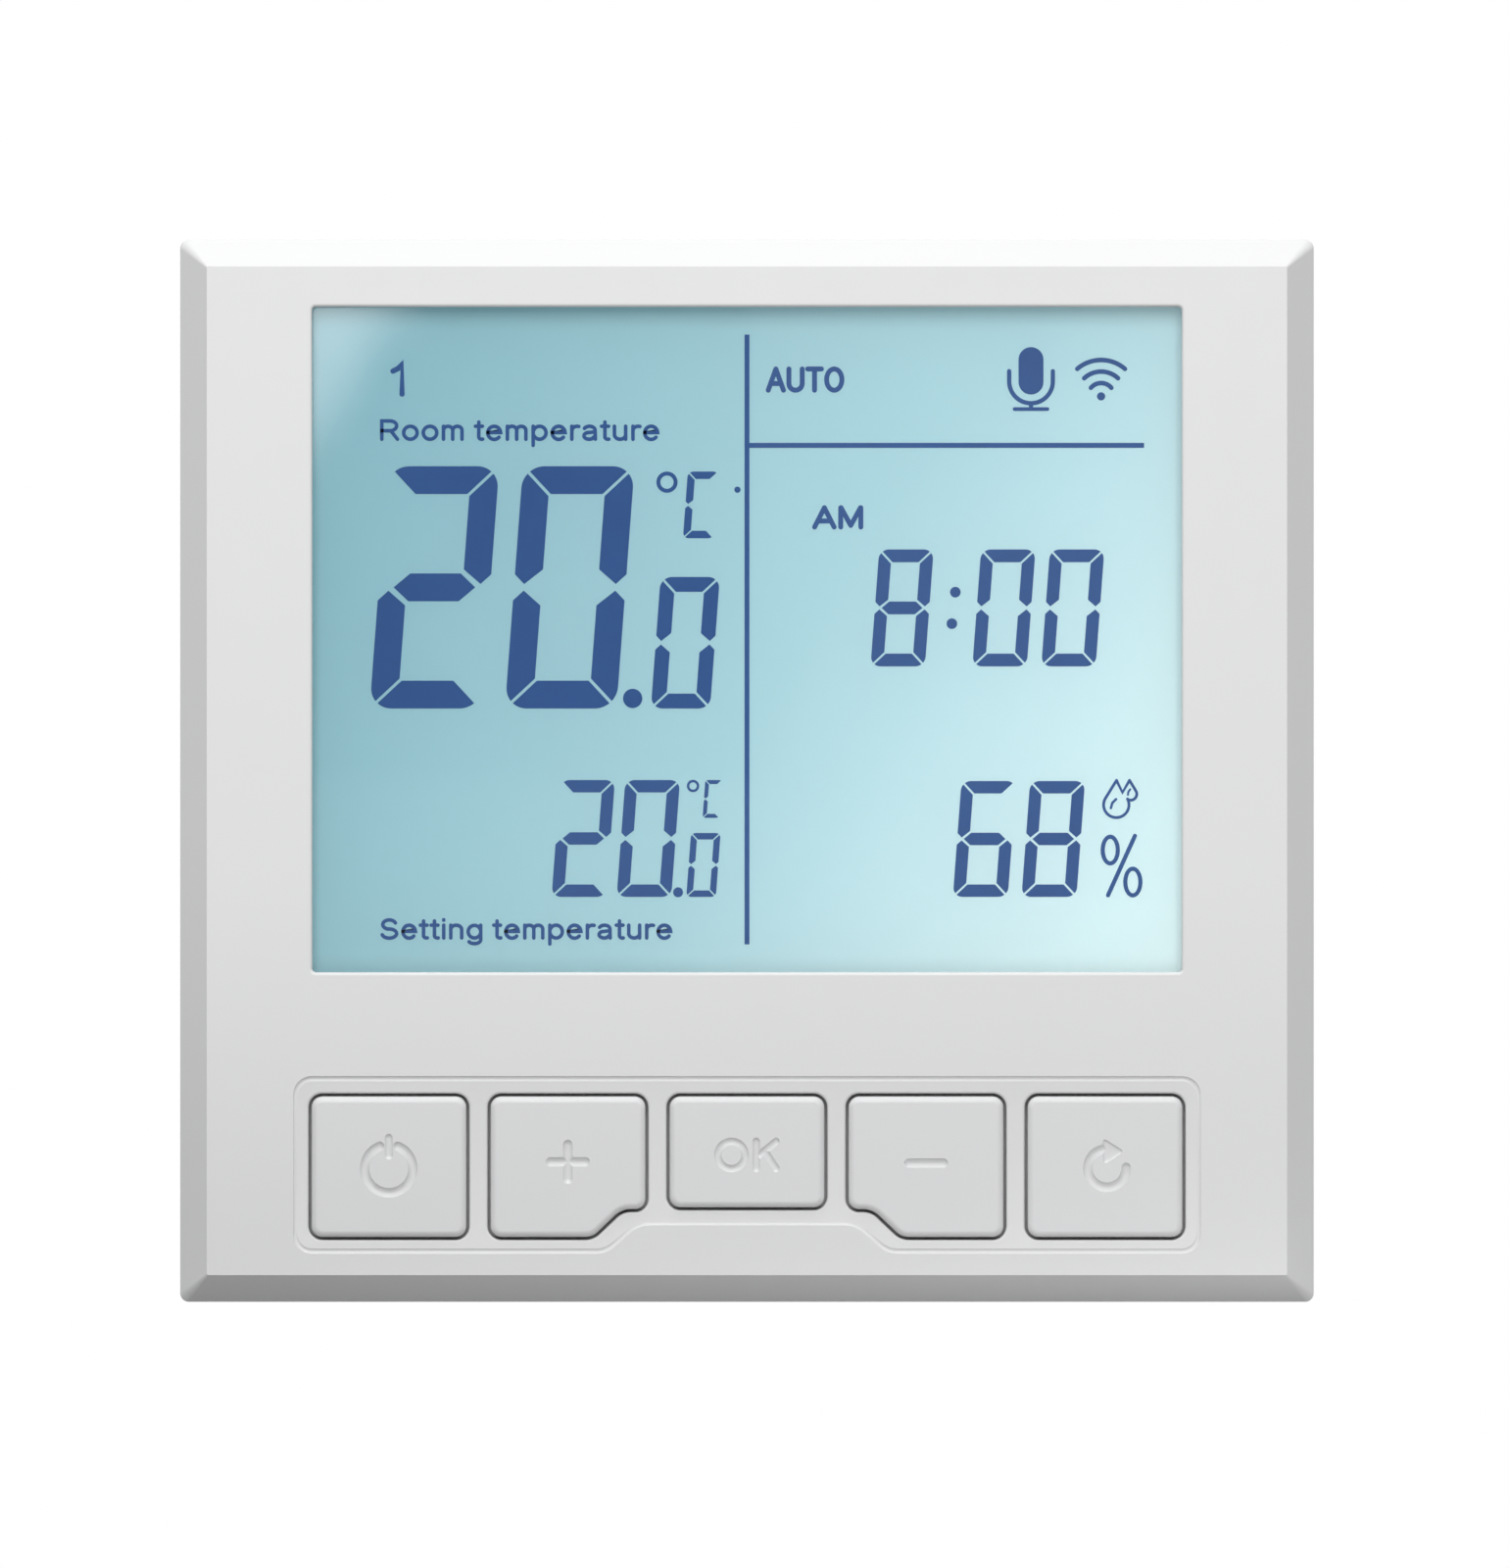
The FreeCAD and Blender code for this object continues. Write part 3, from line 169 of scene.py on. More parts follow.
def circuit_board(name):
    """Solder mask over copper tracks, plated holes and bare laminate at the cut edges."""
    f = Finish(name, 0.3)
    x, _, z = f.axes()
    plan = f.add("CombineXYZ", {0: x, 1: z, 2: 0.0}).outputs[0]
    mask, track, laminate, tin = srgb(14, 84, 44), srgb(30, 118, 62), srgb(150, 148, 92), srgb(200, 198, 188)
    tracks = f.add("TexBrick", {"Vector": plan, "Scale": 1 / (4.2 * MM), "Mortar Size": 0.035,
                                "Mortar Smooth": 0.1, "Brick Width": 1.3, "Row Height": 0.31},
                   offset=0.37, squash=0.6, squash_frequency=3).outputs["Fac"]
    holes = f.add("TexVoronoi", {"Vector": plan, "Scale": 1 / (5.5 * MM),
                                 "Randomness": 0.85}).outputs["Distance"]
    hole = f.ramp(holes, 0.07, 0.085, 1.0, 0.0)
    face = f.mix(tracks, f.mottle(mask, 0.12, 3.0), track)
    face = f.mix(hole, face, tin)
    edge = f.ramp(f.calc("ABSOLUTE", f.axes(f.normal)[1]), 0.5, 0.7, 1.0, 0.0)
    f.set("Base Color", f.mix(edge, face, f.mottle(laminate, 0.15, 0.4)))
    f.set("Roughness", f.ramp(edge, 0.0, 1.0, 0.28, 0.75))
    f.set("Metallic", f.calc("MULTIPLY", hole, f.ramp(edge, 0.0, 1.0, 1.0, 0.0)))
    f.bump(f.calc("ADD", tracks, hole), 0.03)
    f.bump(f.noise(0.25), 0.004)
    return f


def display_panel(name):
    """Display film with a painted backlight glow: cyan, painted lighter towards the lower right.
    Its lamps stand along the right edge.
    """
    f = Finish(name, 0.35)
    x, _, z = f.axes()
    middle = (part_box("display_lens")[0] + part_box("display_lens")[1]) / 2
    right = f.calc("MULTIPLY", f.calc("SUBTRACT", x, middle.x), 1 / MM)
    up = f.calc("MULTIPLY", f.calc("SUBTRACT", z, middle.z), 1 / MM)
    # painted backlight: the film's colour and its glow are made lighter towards the lower right
    backlight_level = f.calc("ADD", f.calc("MULTIPLY", right, BACKLIGHT_RIGHT), BACKLIGHT_MIDDLE)
    backlight_level = f.calc("ADD", backlight_level, f.calc("MULTIPLY", up, BACKLIGHT_UP))
    backlight_level = f.calc("ADD", backlight_level, f.calc("MULTIPLY", f.calc("MULTIPLY", right, up), BACKLIGHT_BOTH))
    ramp = f.add("ValToRGB", {0: backlight_level})
    stops = ramp.color_ramp.elements
    stops[0].position, stops[0].color = 0.0, srgb(128, 178, 190)
    stops[1].position, stops[1].color = 1.0, srgb(234, 252, 253)
    middle_stop = stops.new(0.5)
    middle_stop.color = srgb(175, 212, 220)
    lit = f.mix(f.ramp(f.noise(0.5, 2.0), 0.4, 0.6, 0.0, 0.02), ramp.outputs[0], srgb(150, 200, 215))
    f.set("Base Color", lit)
    f.set("Emission Color", lit)
    f.set("Emission Strength", PANEL_GLOW)
    f.bump(f.noise(0.12), 0.001)
    return f


def clear_pane(name, tint, roughness, gloss_ior):
    """Thin clear pane: what is behind it shows, with the surface's own reflections over it."""
    f = Finish(name)
    clear = f.add("BsdfTransparent", {"Color": tint})
    smudge = f.ramp(f.noise(7.0, 3.0), 0.35, 0.75, roughness, roughness + 0.03)
    gloss = f.add("BsdfGlossy", {"Color": (1, 1, 1, 1), "Roughness": smudge})
    facing = f.add("Fresnel", {"IOR": gloss_ior})
    both = f.add("MixShader", {0: facing.outputs[0], 1: clear.outputs[0], 2: gloss.outputs[0]})
    f.tree.nodes.remove(f.shader)
    output = f.tree.nodes["Material Output"]
    join(f.tree, output.inputs["Surface"], both.outputs[0])
    return f


def rubber_strip(name):
    """Silicone strip of fine dark conducting layers between pink insulating ones."""
    f = Finish(name, 0.6)
    wave = f.add("TexWave", {"Vector": f.place, "Scale": 1 / (2.0 * MM), "Distortion": 0.0},
                 bands_direction="X").outputs["Fac"]
    dark = f.ramp(wave, 0.45, 0.6, smooth=True)
    f.set("Base Color", f.mix(dark, f.mottle(srgb(214, 150, 158), 0.05, 1.5), srgb(60, 48, 50)))
    f.bump(wave, 0.01)
    return f


def tinned_can(name, color, roughness=0.28):
    """Pressed sheet with a drawn skin and faint rub marks."""
    f = plated(name, color, roughness, (14, 1, 1), 0.05)
    f.bump(f.noise(3.0), 0.02)
    return f


def capacitor_group(name):
    """Dark printed sleeves with a pale stripe and bare aluminium tops, and a mustard film capacitor."""
    f = Finish(name, 0.3)
    x, _, z = f.axes()
    facing = f.axes(f.normal)
    sleeve, stripe = srgb(28, 38, 78), srgb(190, 196, 205)
    bare, film = srgb(205, 206, 208), srgb(196, 140, 34)
    side = f.mix(f.ramp(facing[2], 0.86, 0.88), f.mottle(sleeve, 0.1, 1.2), stripe)
    top = f.ramp(facing[1], 0.75, 0.8)
    can = f.mix(top, side, f.mottle(bare, 0.08, 0.5))
    boxed = f.ramp(x, 3.9 * MM, 4.1 * MM)          # the film capacitor stands to the right of the two cans
    f.set("Base Color", f.mix(boxed, can, f.mottle(film, 0.08, 2.5)))
    f.set("Metallic", f.calc("MULTIPLY", top, f.calc("SUBTRACT", 1.0, boxed)))
    f.set("Roughness", f.ramp(f.noise(0.8), 0.3, 0.7, 0.24, 0.38))
    f.bump(f.noise(0.4, 3.0), 0.006)
    return f


def fuse_glass(name):
    """Sand-filled glass tube between two nickel caps."""
    f = Finish(name, 0.15)
    x = f.calc("ABSOLUTE", f.axes()[0])
    cap = f.ramp(x, 6.45 * MM, 6.55 * MM)          # a cap begins 6.5 mm from the middle
    sand = f.mix(f.ramp(f.noise(0.3, 3.0), 0.35, 0.65), srgb(205, 200, 188), srgb(236, 232, 222))
    f.set("Base Color", f.mix(cap, sand, f.mottle(srgb(196, 192, 184), 0.06, 0.8)))
    f.set("Metallic", cap)
    f.set("Roughness", f.ramp(f.noise(0.6), 0.3, 0.7, 0.12, 0.3))
    f.set("Coat Weight", 0.6)
    f.set("Coat Roughness", 0.05)
    f.bump(f.noise(0.5), 0.006)
    return f


def wound_coil(name):
    """Amber polyester tape in overlapping turns, over copper, on a dark bobbin."""
    f = Finish(name, 0.22)
    _, y, z = f.axes()
    turn = f.add("TexWave", {"Vector": f.place, "Scale": 1 / (9.0 * MM), "Distortion": 0.4, "Detail": 1.0},
                 bands_direction="Y", wave_profile="SAW").outputs["Fac"]
    tape = f.mix(f.ramp(turn, 0.0, 1.0, 0.0, 0.35), srgb(214, 160, 36), srgb(150, 92, 22))
    taped = f.ramp(y, 9.0 * MM, 9.1 * MM)          # the bobbin's feet reach to here
    f.set("Base Color", f.mix(taped, f.mottle(srgb(34, 32, 32), 0.1, 1.0), tape))
    f.set("Roughness", f.ramp(taped, 0.0, 1.0, 0.5, 0.2))
    f.bump(turn, 0.05)
    return f


def fired_core(name):
    """Dull sintered ferrite with ground faces."""
    f = Finish(name, 0.62)
    f.set("Base Color", f.mix(f.noise(0.25, 4.0), srgb(52, 50, 54), srgb(88, 86, 90)))
    f.set("Roughness", f.ramp(f.noise(1.5), 0.3, 0.7, 0.5, 0.75))
    f.bump(f.noise(0.3, 4.0), 0.015)
    return f


def dipped_coat(name, color):
    """Thick dipped epoxy: glossy, a little uneven."""
    f = Finish(name, 0.28)
    f.set("Base Color", f.mottle(color, 0.1, 1.5))
    f.bump(f.noise(1.6, 3.0), 0.06)
    f.bump(f.noise(0.2), 0.004)
    return f


def lamp(name):
    """White lamp package with a yellow phosphor window on the side that faces the light guide."""
    f = Finish(name, 0.35)
    side = f.ramp(f.axes(f.normal)[0], -0.9, -0.8, 1.0, 0.0)
    f.set("Base Color", f.mix(side, f.mottle(srgb(236, 234, 228), 0.02, 0.6), srgb(232, 206, 92)))
    f.bump(f.noise(0.15), 0.004)
    return f


def light_film(name, color, roughness):
    f = Finish(name, roughness)
    f.set("Base Color", f.mottle(color, 0.015, 5.0))
    f.bump(f.noise(0.08), 0.003)
    return f


def display_ink(name):
    """Dark blue of the driven display figures, matt under the polarizer."""
    f = Finish(name, 0.8)
    f.set("Specular IOR Level", 0.0)
    f.set("Base Color", f.mottle(INK, 0.05, 3.0))
    f.bump(f.noise(0.15), 0.001)
    return f


def dress(node, finish):
    mesh = NODES[node].data
    mesh.materials.clear()
    mesh.materials.append(finish.material)


FINISHES = {
    moulded("white_shell", COVER_WHITE, 0.42, 0.28, 0.003, 0.004): ["front_cover"],
    moulded("white_key", KEY_WHITE, 0.38, 0.28, 0.0025, 0.004): [f"key_{key}" for key in KEYS],
    clear_pane("clear_lens", (0.97, 0.985, 0.985, 1), 0.02, 1.45): ["display_lens"],
    moulded("tape", srgb(30, 30, 32), 0.7, 0.5, 0.01, 0.1): ["lens_tape"],
    clear_pane("lcd_glass", (0.93, 0.97, 0.97, 1), 0.01, 1.3): ["lcd_glass"],
    display_panel("polarizer"): ["lcd_polarizers"],
    light_film("light_sheet", srgb(240, 240, 238), 0.5): ["backlight_sheets"],
    light_film("light_guide", srgb(226, 236, 240), 0.08): ["backlight_guide"],
    lamp("white_lamp"): ["backlight_leds"],
    moulded("holder_white", srgb(238, 238, 234), 0.5, 0.4, 0.006, 0.02): ["lcd_holder"],
    rubber_strip("contact_rubber"): ["contact_strip"],
    circuit_board("circuit_board"): ["control_board", "wireless_board", "power_board"],
    moulded("chip_black", srgb(36, 36, 39), 0.55, 0.15, 0.006, 0.08): ["controller_chip", "air_sensor"],
    moulded("switch_black", srgb(42, 42, 44), 0.5, 0.2, 0.004, 0.06): ["switch_bodies"],
    moulded("plunger_black", srgb(30, 30, 32), 0.4, 0.2, 0.003, 0.05): [f"plunger_{key}" for key in KEYS],
    tinned_can("shield_metal", srgb(206, 206, 202)): ["wireless_shield", "cell_clip"],
    plated("cell_steel", srgb(216, 216, 214), 0.18, (8, 1, 1), 0.04): ["backup_cell"],
    plated("gold_pin", srgb(226, 186, 96), 0.2, (1, 6, 1), 0.06): ["header_pins"],
    moulded("black_moulding", srgb(33, 33, 36), 0.48, 0.25, 0.005, 0.06): ["pin_header", "board_socket"],
    plated("screw_zinc", ZINC, 0.3, (5, 1, 5), 0.12): [
        "board_screws", "case_screws", "housing_screws"] + [f"terminal_screw_{i}" for i in POLES],
    plated("plate_steel", srgb(198, 201, 205), 0.34, (1, 1, 9), 0.1): ["mounting_plate"],
    plated("spring_steel", STEEL, 0.24, (1, 1, 12), 0.05): ["latch_springs"],
    moulded("housing_plastic", srgb(226, 226, 223), 0.55, 0.45, 0.012, 0.015): ["power_housing"],
    moulded("lid_plastic", srgb(222, 222, 219), 0.52, 0.4, 0.008, 0.015): ["back_cover", "housing_lid"],
    moulded("relay_case", srgb(22, 74, 150), 0.3, 0.6, 0.004, 0.05, 0.2): ["relay"],
    fired_core("ferrite"): ["transformer_core"],
    wound_coil("coil_tape"): ["transformer_coil"],
    capacitor_group("capacitor_sleeve"): ["supply_capacitors"],
    dipped_coat("varistor_coat", srgb(24, 84, 158)): ["varistor"],
    fuse_glass("fuse_body"): ["fuse_link"],
    moulded("terminal_plastic", srgb(48, 128, 66), 0.45, 0.3, 0.008, 0.04): ["terminal_block"],
    plated("contact_brass", BRASS, 0.28, (1, 1, 8), 0.1): ["contact_plates"],
    plated("clamp_steel", ZINC, 0.32, (6, 1, 1), 0.1): [f"wire_clamp_{i}" for i in POLES],
}
for finish, members in FINISHES.items():
    for member in members:
        dress(member, finish)


# ---------------------------------------------------------------- display figures
INK_FINISH = display_ink("display_ink")
LENS_LOW, LENS_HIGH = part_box("display_lens")
DISPLAY = (LENS_LOW + LENS_HIGH) / 2
FILM_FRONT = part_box("lcd_polarizers")[0].y
FIGURE_BACK, FIGURE_FRONT = FILM_FRONT - 0.01 * MM, FILM_FRONT - 0.05 * MM
SLANT = 0.0745                       # lean of the figures, sideways per unit of height
CAP_STEPS = 8                        # points round a line's rounded end
RING_STEPS = 40
MITRE_LIMIT = 1.6                    # furthest reach of a mitred corner, in half widths
LAYER = 0.001 * MM                   # how much prouder each next outline of a sign stands
LETTER_SPACING = 0.1
# The lit bars of each character, named as on any seven-segment figure.
LIT = {"0": "abcdef", "2": "abdeg", "6": "acdefg", "8": "abcdefg", "C": "adef"}


def bow(x, z, half_w, half_h, start, end, steps=12):
    """Points on an upright ellipse, angles in degrees from +X towards +Z."""
    angles = [math.radians(start + (end - start) * i / steps) for i in range(steps + 1)]
    return [(x + half_w * math.cos(a), z + half_h * math.sin(a)) for a in angles]


def arc(x, z, radius, start, end, steps=10):
    """Points on a circle, angles in degrees from +X towards +Z."""
    return bow(x, z, radius, radius, start, end, steps)


def segment(name, width, height, stroke, gap):
    """Outline of one bar of an upright seven-segment figure whose lower left corner is at the origin."""
    if name == "g":
        middle = height / 2
        return [(0.54 * stroke, middle), (1.1 * stroke, middle - 0.5 * stroke),
                (width - 1.1 * stroke, middle - 0.5 * stroke), (width - 0.54 * stroke, middle),
                (width - 1.1 * stroke, middle + 0.5 * stroke), (1.1 * stroke, middle + 0.5 * stroke)]
    radius, cut = 0.78 * stroke, gap / math.sqrt(2)
    reach = (math.sqrt(2 * radius ** 2 - cut ** 2) - cut) / 2
    split = math.degrees(math.atan2(reach + cut, reach))
    if name in "ad":
        shape = [(width - stroke - cut, height - stroke)]
        shape += arc(width - radius, height - radius, radius, split, 90, 6)
        shape += [(width - x, z) for x, z in reversed(shape)]
    else:
        middle = height / 2
        shape = [(width - stroke, middle + 0.65 * stroke), (width - 0.36 * stroke, middle + 0.12 * stroke),
                 (width, middle + 0.47 * stroke)]
        shape += arc(width - radius, height - radius, radius, 0, 90 - split, 6)
        shape.append((width - stroke, height - stroke - cut))
    if name in "dce":
        shape = [(x, height - z) for x, z in reversed(shape)]
    if name in "fe":
        shape = [(width - x, z) for x, z in reversed(shape)]
    return shape


def figure(character, x, z, width, height, stroke, gap):
    """Outlines of a leaning figure whose lower left corner is at (x, z)."""
    return [[(x + px + SLANT * pz, z + pz) for px, pz in segment(name, width, height, stroke, gap)]
            for name in LIT[character]]


def disc(x, z, radius):
    return arc(x, z, radius, 0, 352, 44)


def stroke(points, width):
    """Outline of an open line of even width, with mitred corners and round ends."""
    half = width / 2
    runs = [Vector((b[0] - a[0], b[1] - a[1])).normalized() for a, b in zip(points, points[1:])]
    left, right = [], []
    for i, (x, z) in enumerate(points):
        before, after = runs[max(i - 1, 0)], runs[min(i, len(runs) - 1)]
        along = (before + after).normalized()
        reach = half * min(MITRE_LIMIT, 1 / max(0.1, along.dot(after)))
        left.append((x - along.y * reach, z + along.x * reach))
        right.append((x + along.y * reach, z - along.x * reach))

    def cap(point, side):
        start = math.degrees(math.atan2(side[1] - point[1], side[0] - point[0]))
        return arc(*point, half, start, start + 180, CAP_STEPS)[1:-1]
    return right + cap(points[-1], right[-1]) + left[::-1] + cap(points[0], left[0])


def prism(mesh, outline, hole=None, order=0):
    """Thin prism of an outline, or of the band between an outline and a hole with as many points.
    A higher order stands a hair prouder, so that faces which cross don't share a plane."""
    depths = FIGURE_FRONT - order * LAYER, FIGURE_BACK
    rims = [[[mesh.verts.new((DISPLAY.x + x * MM, y, DISPLAY.z + z * MM)) for x, z in edge]
             for y in depths] for edge in ([outline] if hole is None else [outline, hole])]
    count = len(outline)
    if hole is None:
        mesh.faces.new(rims[0][0])
        mesh.faces.new(rims[0][1][::-1])
    for i in range(count):
        j = (i + 1) % count
        for front, back in rims:
            mesh.faces.new((front[i], front[j], back[j], back[i]))
        if hole is not None:
            for layer in (0, 1):
                outer, inner = rims[0][layer], rims[1][layer]
                mesh.faces.new((outer[i], outer[j], inner[j], inner[i]))


def piece(name, mesh, body="front_module", finish=INK_FINISH):
    """A named piece that rides on a body."""
    bmesh.ops.remove_doubles(mesh, verts=mesh.verts, dist=1e-7)
    bmesh.ops.recalc_face_normals(mesh, faces=mesh.faces)
    data = bpy.data.meshes.new(name)
    mesh.to_mesh(data)
    mesh.free()
    data.materials.append(finish.material)
    made = bpy.data.objects.new(name, data)
    bpy.context.scene.collection.objects.link(made)
    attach(made, body)
    return made


def sign(name, outlines, bands=()):
    """A piece of the display. Its outlines take turns at five layers, and its bands at two more."""
    mesh = bmesh.new()
    for order, outline in enumerate(outlines):
        prism(mesh, outline, order=order % 5)
    for order, (outer, inner) in enumerate(bands):
        prism(mesh, outer, inner, 5 + order % 2)
    return piece(name, mesh)


def lettering(text, weight):
    """Mesh of a text in the built-in typeface at size 1, on its baseline at the origin."""
    curve = bpy.data.curves.new(text, "FONT")
    curve.body = text
    curve.offset = weight
    curve.extrude = 0.5
    curve.resolution_u = 6
    holder = bpy.data.objects.new(text, curve)
    data = bpy.data.meshes.new_from_object(holder)
    bpy.data.objects.remove(holder)
    bpy.data.curves.remove(curve)
    return data


def extent(data, axis):
    values = [v.co[axis] for v in data.vertices]
    return min(values), max(values)


def ring(x, z, half_w, half_h, width):
    """Oval band: its outer and inner outlines."""
    def oval(by):
        turns = [2 * math.pi * i / RING_STEPS for i in range(RING_STEPS)]
        return [(x + (half_w + by) * math.cos(a), z + (half_h + by) * math.sin(a)) for a in turns]
    return oval(width / 2), oval(-width / 2)


def bar(x0, z0, x1, z1):
    return [(x0, z0), (x1, z0), (x1, z1), (x0, z1)]


# Plain letters as centre lines, in units of the capitals' height: width, open lines, and ovals as (x, z, half
# width, half height). LOW, MID and TOP are the centre lines of the foot, of the small letters' head and of
# the capitals' head.
LOW, MID, TOP = 0.07, 0.68, 0.93
STEM = [(0.08, LOW), (0.08, MID)]
LETTERS = {
    " ": (0.18, [], []),
    "1": (0.36, [[(0.04, 0.72), (0.2, 0.8), (0.3, TOP), (0.3, LOW)]], []),
    "A": (0.7, [[(0.04, LOW), (0.35, TOP)], [(0.35, TOP), (0.66, LOW)], [(0.15, 0.34), (0.55, 0.34)]], []),
    "M": (0.78, [[(0.07, LOW), (0.07, TOP)], [(0.08, TOP), (0.39, 0.14)], [(0.39, 0.14), (0.7, TOP)],
                 [(0.71, TOP), (0.71, LOW)]], []),
    "O": (0.76, [], [(0.38, 0.5, 0.31, 0.43)]),
    "R": (0.7, [[(0.08, LOW), (0.08, TOP), (0.38, TOP)] + bow(0.38, 0.7, 0.23, 0.23, 75, -90)
                + [(0.08, 0.47)], [(0.4, 0.47), (0.64, LOW)]], []),
    "S": (0.68, [bow(0.34, 0.71, 0.24, 0.22, 20, 250) + bow(0.34, 0.28, 0.27, 0.22, 75, -165)], []),
    "T": (0.64, [[(0.04, TOP), (0.6, TOP)], [(0.32, TOP), (0.32, LOW)]], []),
    "U": (0.7, [[(0.08, TOP)] + bow(0.35, 0.34, 0.27, 0.27, 180, 360) + [(0.62, TOP)]], []),
    "a": (0.58, [bow(0.27, 0.5, 0.2, 0.18, 155, 0) + [(0.48, LOW)],
                 [(0.47, 0.42), (0.3, 0.39)] + bow(0.26, 0.23, 0.19, 0.16, 110, 300) + [(0.47, 0.22)]], []),
    "e": (0.58, [[(0.06, 0.385), (0.52, 0.385)] + bow(0.29, 0.37, 0.23, 0.31, 12, 318, 20)], []),
    "g": (0.6, [[(0.52, MID)] + bow(0.29, -0.02, 0.23, 0.18, 0, -150)], [(0.29, 0.37, 0.23, 0.3)]),
    "i": (0.16, [STEM, [(0.08, 0.92), (0.08, 0.94)]], []),
    "m": (0.82, [STEM, bow(0.245, 0.49, 0.165, 0.19, 180, 0) + [(0.41, LOW)],
                 bow(0.575, 0.49, 0.165, 0.19, 180, 0) + [(0.74, LOW)]], []),
    "n": (0.56, [STEM, bow(0.28, 0.47, 0.2, 0.21, 180, 0) + [(0.48, LOW)]], []),
    "o": (0.6, [], [(0.3, 0.375, 0.24, 0.305)]),
    "p": (0.6, [[(0.08, -0.22), (0.08, MID)]], [(0.31, 0.375, 0.23, 0.305)]),
    "r": (0.34, [STEM, bow(0.27, 0.46, 0.19, 0.22, 180, 72)], []),
    "t": (0.3, [[(0.14, 0.88)] + bow(0.25, 0.18, 0.11, 0.11, 180, 285), [(0.02, MID), (0.27, MID)]], []),
    "u": (0.56, [[(0.48, LOW), (0.48, MID)], [(0.08, MID)] + bow(0.28, 0.28, 0.2, 0.21, 180, 360)], []),
}


def label(name, text, x0, x1, baseline, cap_height, weight=0.17):
    """A word on the display, fitted to its width and to the height of its capitals. The weight of its lines
    is in units of that height."""
    total = sum(LETTERS[c][0] for c in text) + LETTER_SPACING * (len(text) - 1)
    width = weight * cap_height
    scale = (x1 - x0 - width * 0.5) / total
    outlines, bands, start = [], [], x0 + width * 0.25
    for c in text:
        advance, lines, ovals = LETTERS[c]
        for line in lines:
            outlines.append(stroke([(start + x * scale, baseline + z * cap_height) for x, z in line], width))
        for x, z, half_w, half_h in ovals:
            bands.append(ring(start + x * scale, baseline + z * cap_height, half_w * scale,
                              half_h * cap_height, width))
        start += (advance + LETTER_SPACING) * scale
    sign(name, outlines, bands)


sign("figures_room", figure("2", -30.57, -5.55, 9.04, 19.62, 2.25, 0.25)
     + figure("0", -19.61, -5.55, 9.04, 19.62, 2.25, 0.25)
     + figure("0", -7.79, -5.55, 4.8, 10.65, 1.2, 0.19) + [disc(-9.26, -4.74, 0.78)])
sign("unit_room", figure("C", -5.19, 8.24, 2.5, 5.4, 0.6, 0.12) + [disc(-0.77, 12.17, 0.25)],
     [ring(-6.48, 12.78, 0.7, 0.7, 0.32)])
sign("figures_clock", figure("8", 10.01, -2.14, 4.41, 9.47, 1.03, 0.17)
     + figure("0", 18.26, -2.14, 4.41, 9.47, 1.03, 0.17) + figure("0", 23.84, -2.14, 4.41, 9.47, 1.03, 0.17)
     + [disc(16.88, 3.87, 0.43), disc(16.6, 1.32, 0.43)])
sign("figures_setting", figure("2", -15.83, -20.81, 4.43, 9.46, 1.0, 0.17)
     + figure("0", -10.56, -20.81, 4.43, 9.46, 1.0, 0.17) + figure("0", -4.92, -20.81, 2.4, 5.17, 0.52, 0.11)
     + [disc(-5.58, -20.44, 0.4)])
sign("unit_setting", figure("C", -3.6, -14.41, 1.36, 3.06, 0.32, 0.08), [ring(-4.37, -11.83, 0.4, 0.4, 0.2)])
sign("figures_humidity", figure("6", 16.68, -20.81, 4.45, 9.38, 1.0, 0.17)
     + figure("8", 22.24, -20.81, 4.45, 9.38, 1.0, 0.17))
sign("sign_percent", [stroke([(31.43, -15.87), (29.25, -20.68)], 0.34)],
     [ring(29.43, -17.02, 0.61, 1.08, 0.34), ring(31.26, -19.61, 0.61, 1.08, 0.34)])
sign("sign_drops", [
    stroke([(29.94, -11.37)] + arc(29.92, -13.36, 1.03, 152, 388, 30), 0.23),
    stroke([(29.94, -11.37), (30.42, -12.36), (30.99, -11.37)], 0.23),
    stroke([(30.99, -11.37)] + arc(31.08, -12.48, 0.5, 22, -120, 16), 0.23),
    stroke([(29.9, -12.9), (29.6, -13.2), (29.48, -13.62)], 0.2),
    stroke([(31.05, -12.1), (30.9, -12.3), (30.86, -12.55)], 0.16),
])
sign("sign_microphone", [
    arc(23.01, 22.71, 1.01, 0, 180, 16) + arc(23.01, 20.89, 1.01, 180, 360, 16),
    stroke([(21.24, 21.77)] + arc(23.01, 20.94, 1.77, 180, 360, 24) + [(24.78, 21.77)], 0.35),
    bar(22.84, 18.7, 23.18, 19.2), stroke([(21.68, 18.7), (24.34, 18.7)], 0.3),
])
sign("sign_wireless", [disc(28.69, 19.73, 0.33)] + [
    stroke(arc(28.69, 19.73, radius, 90 + half, 90 - half, 16), 0.37)
    for radius, half in ((1.08, 50), (2.01, 43), (2.95, 41))])
sign("display_rules", [bar(-0.2, -24.66, 0.2, 24.73), bar(0.2, 15.56, 32.17, 15.96)])
label("label_zone", "1", -28.9, -27.67, 19.71, 2.87, 0.15)
label("label_room", "Room temperature", -29.84, -7.03, 16.14, 1.72)
label("label_setting", "Setting temperature", -29.8, -5.98, -24.26, 1.7)
label("label_auto", "AUTO", 1.54, 7.93, 20.09, 2.0, 0.2)
label("label_am", "AM", 5.28, 9.5, 9.02, 1.82, 0.22)


# ---------------------------------------------------------------- terminal numbers
NUMBER_HEIGHT, NUMBER_GAP = 1.9, 0.9         # size, and distance above the screw
NUMBER_RISE, NUMBER_SINK = 0.15, 0.02        # how far it stands out of the block, and how far into it
NUMBER_WEIGHT = 0.008


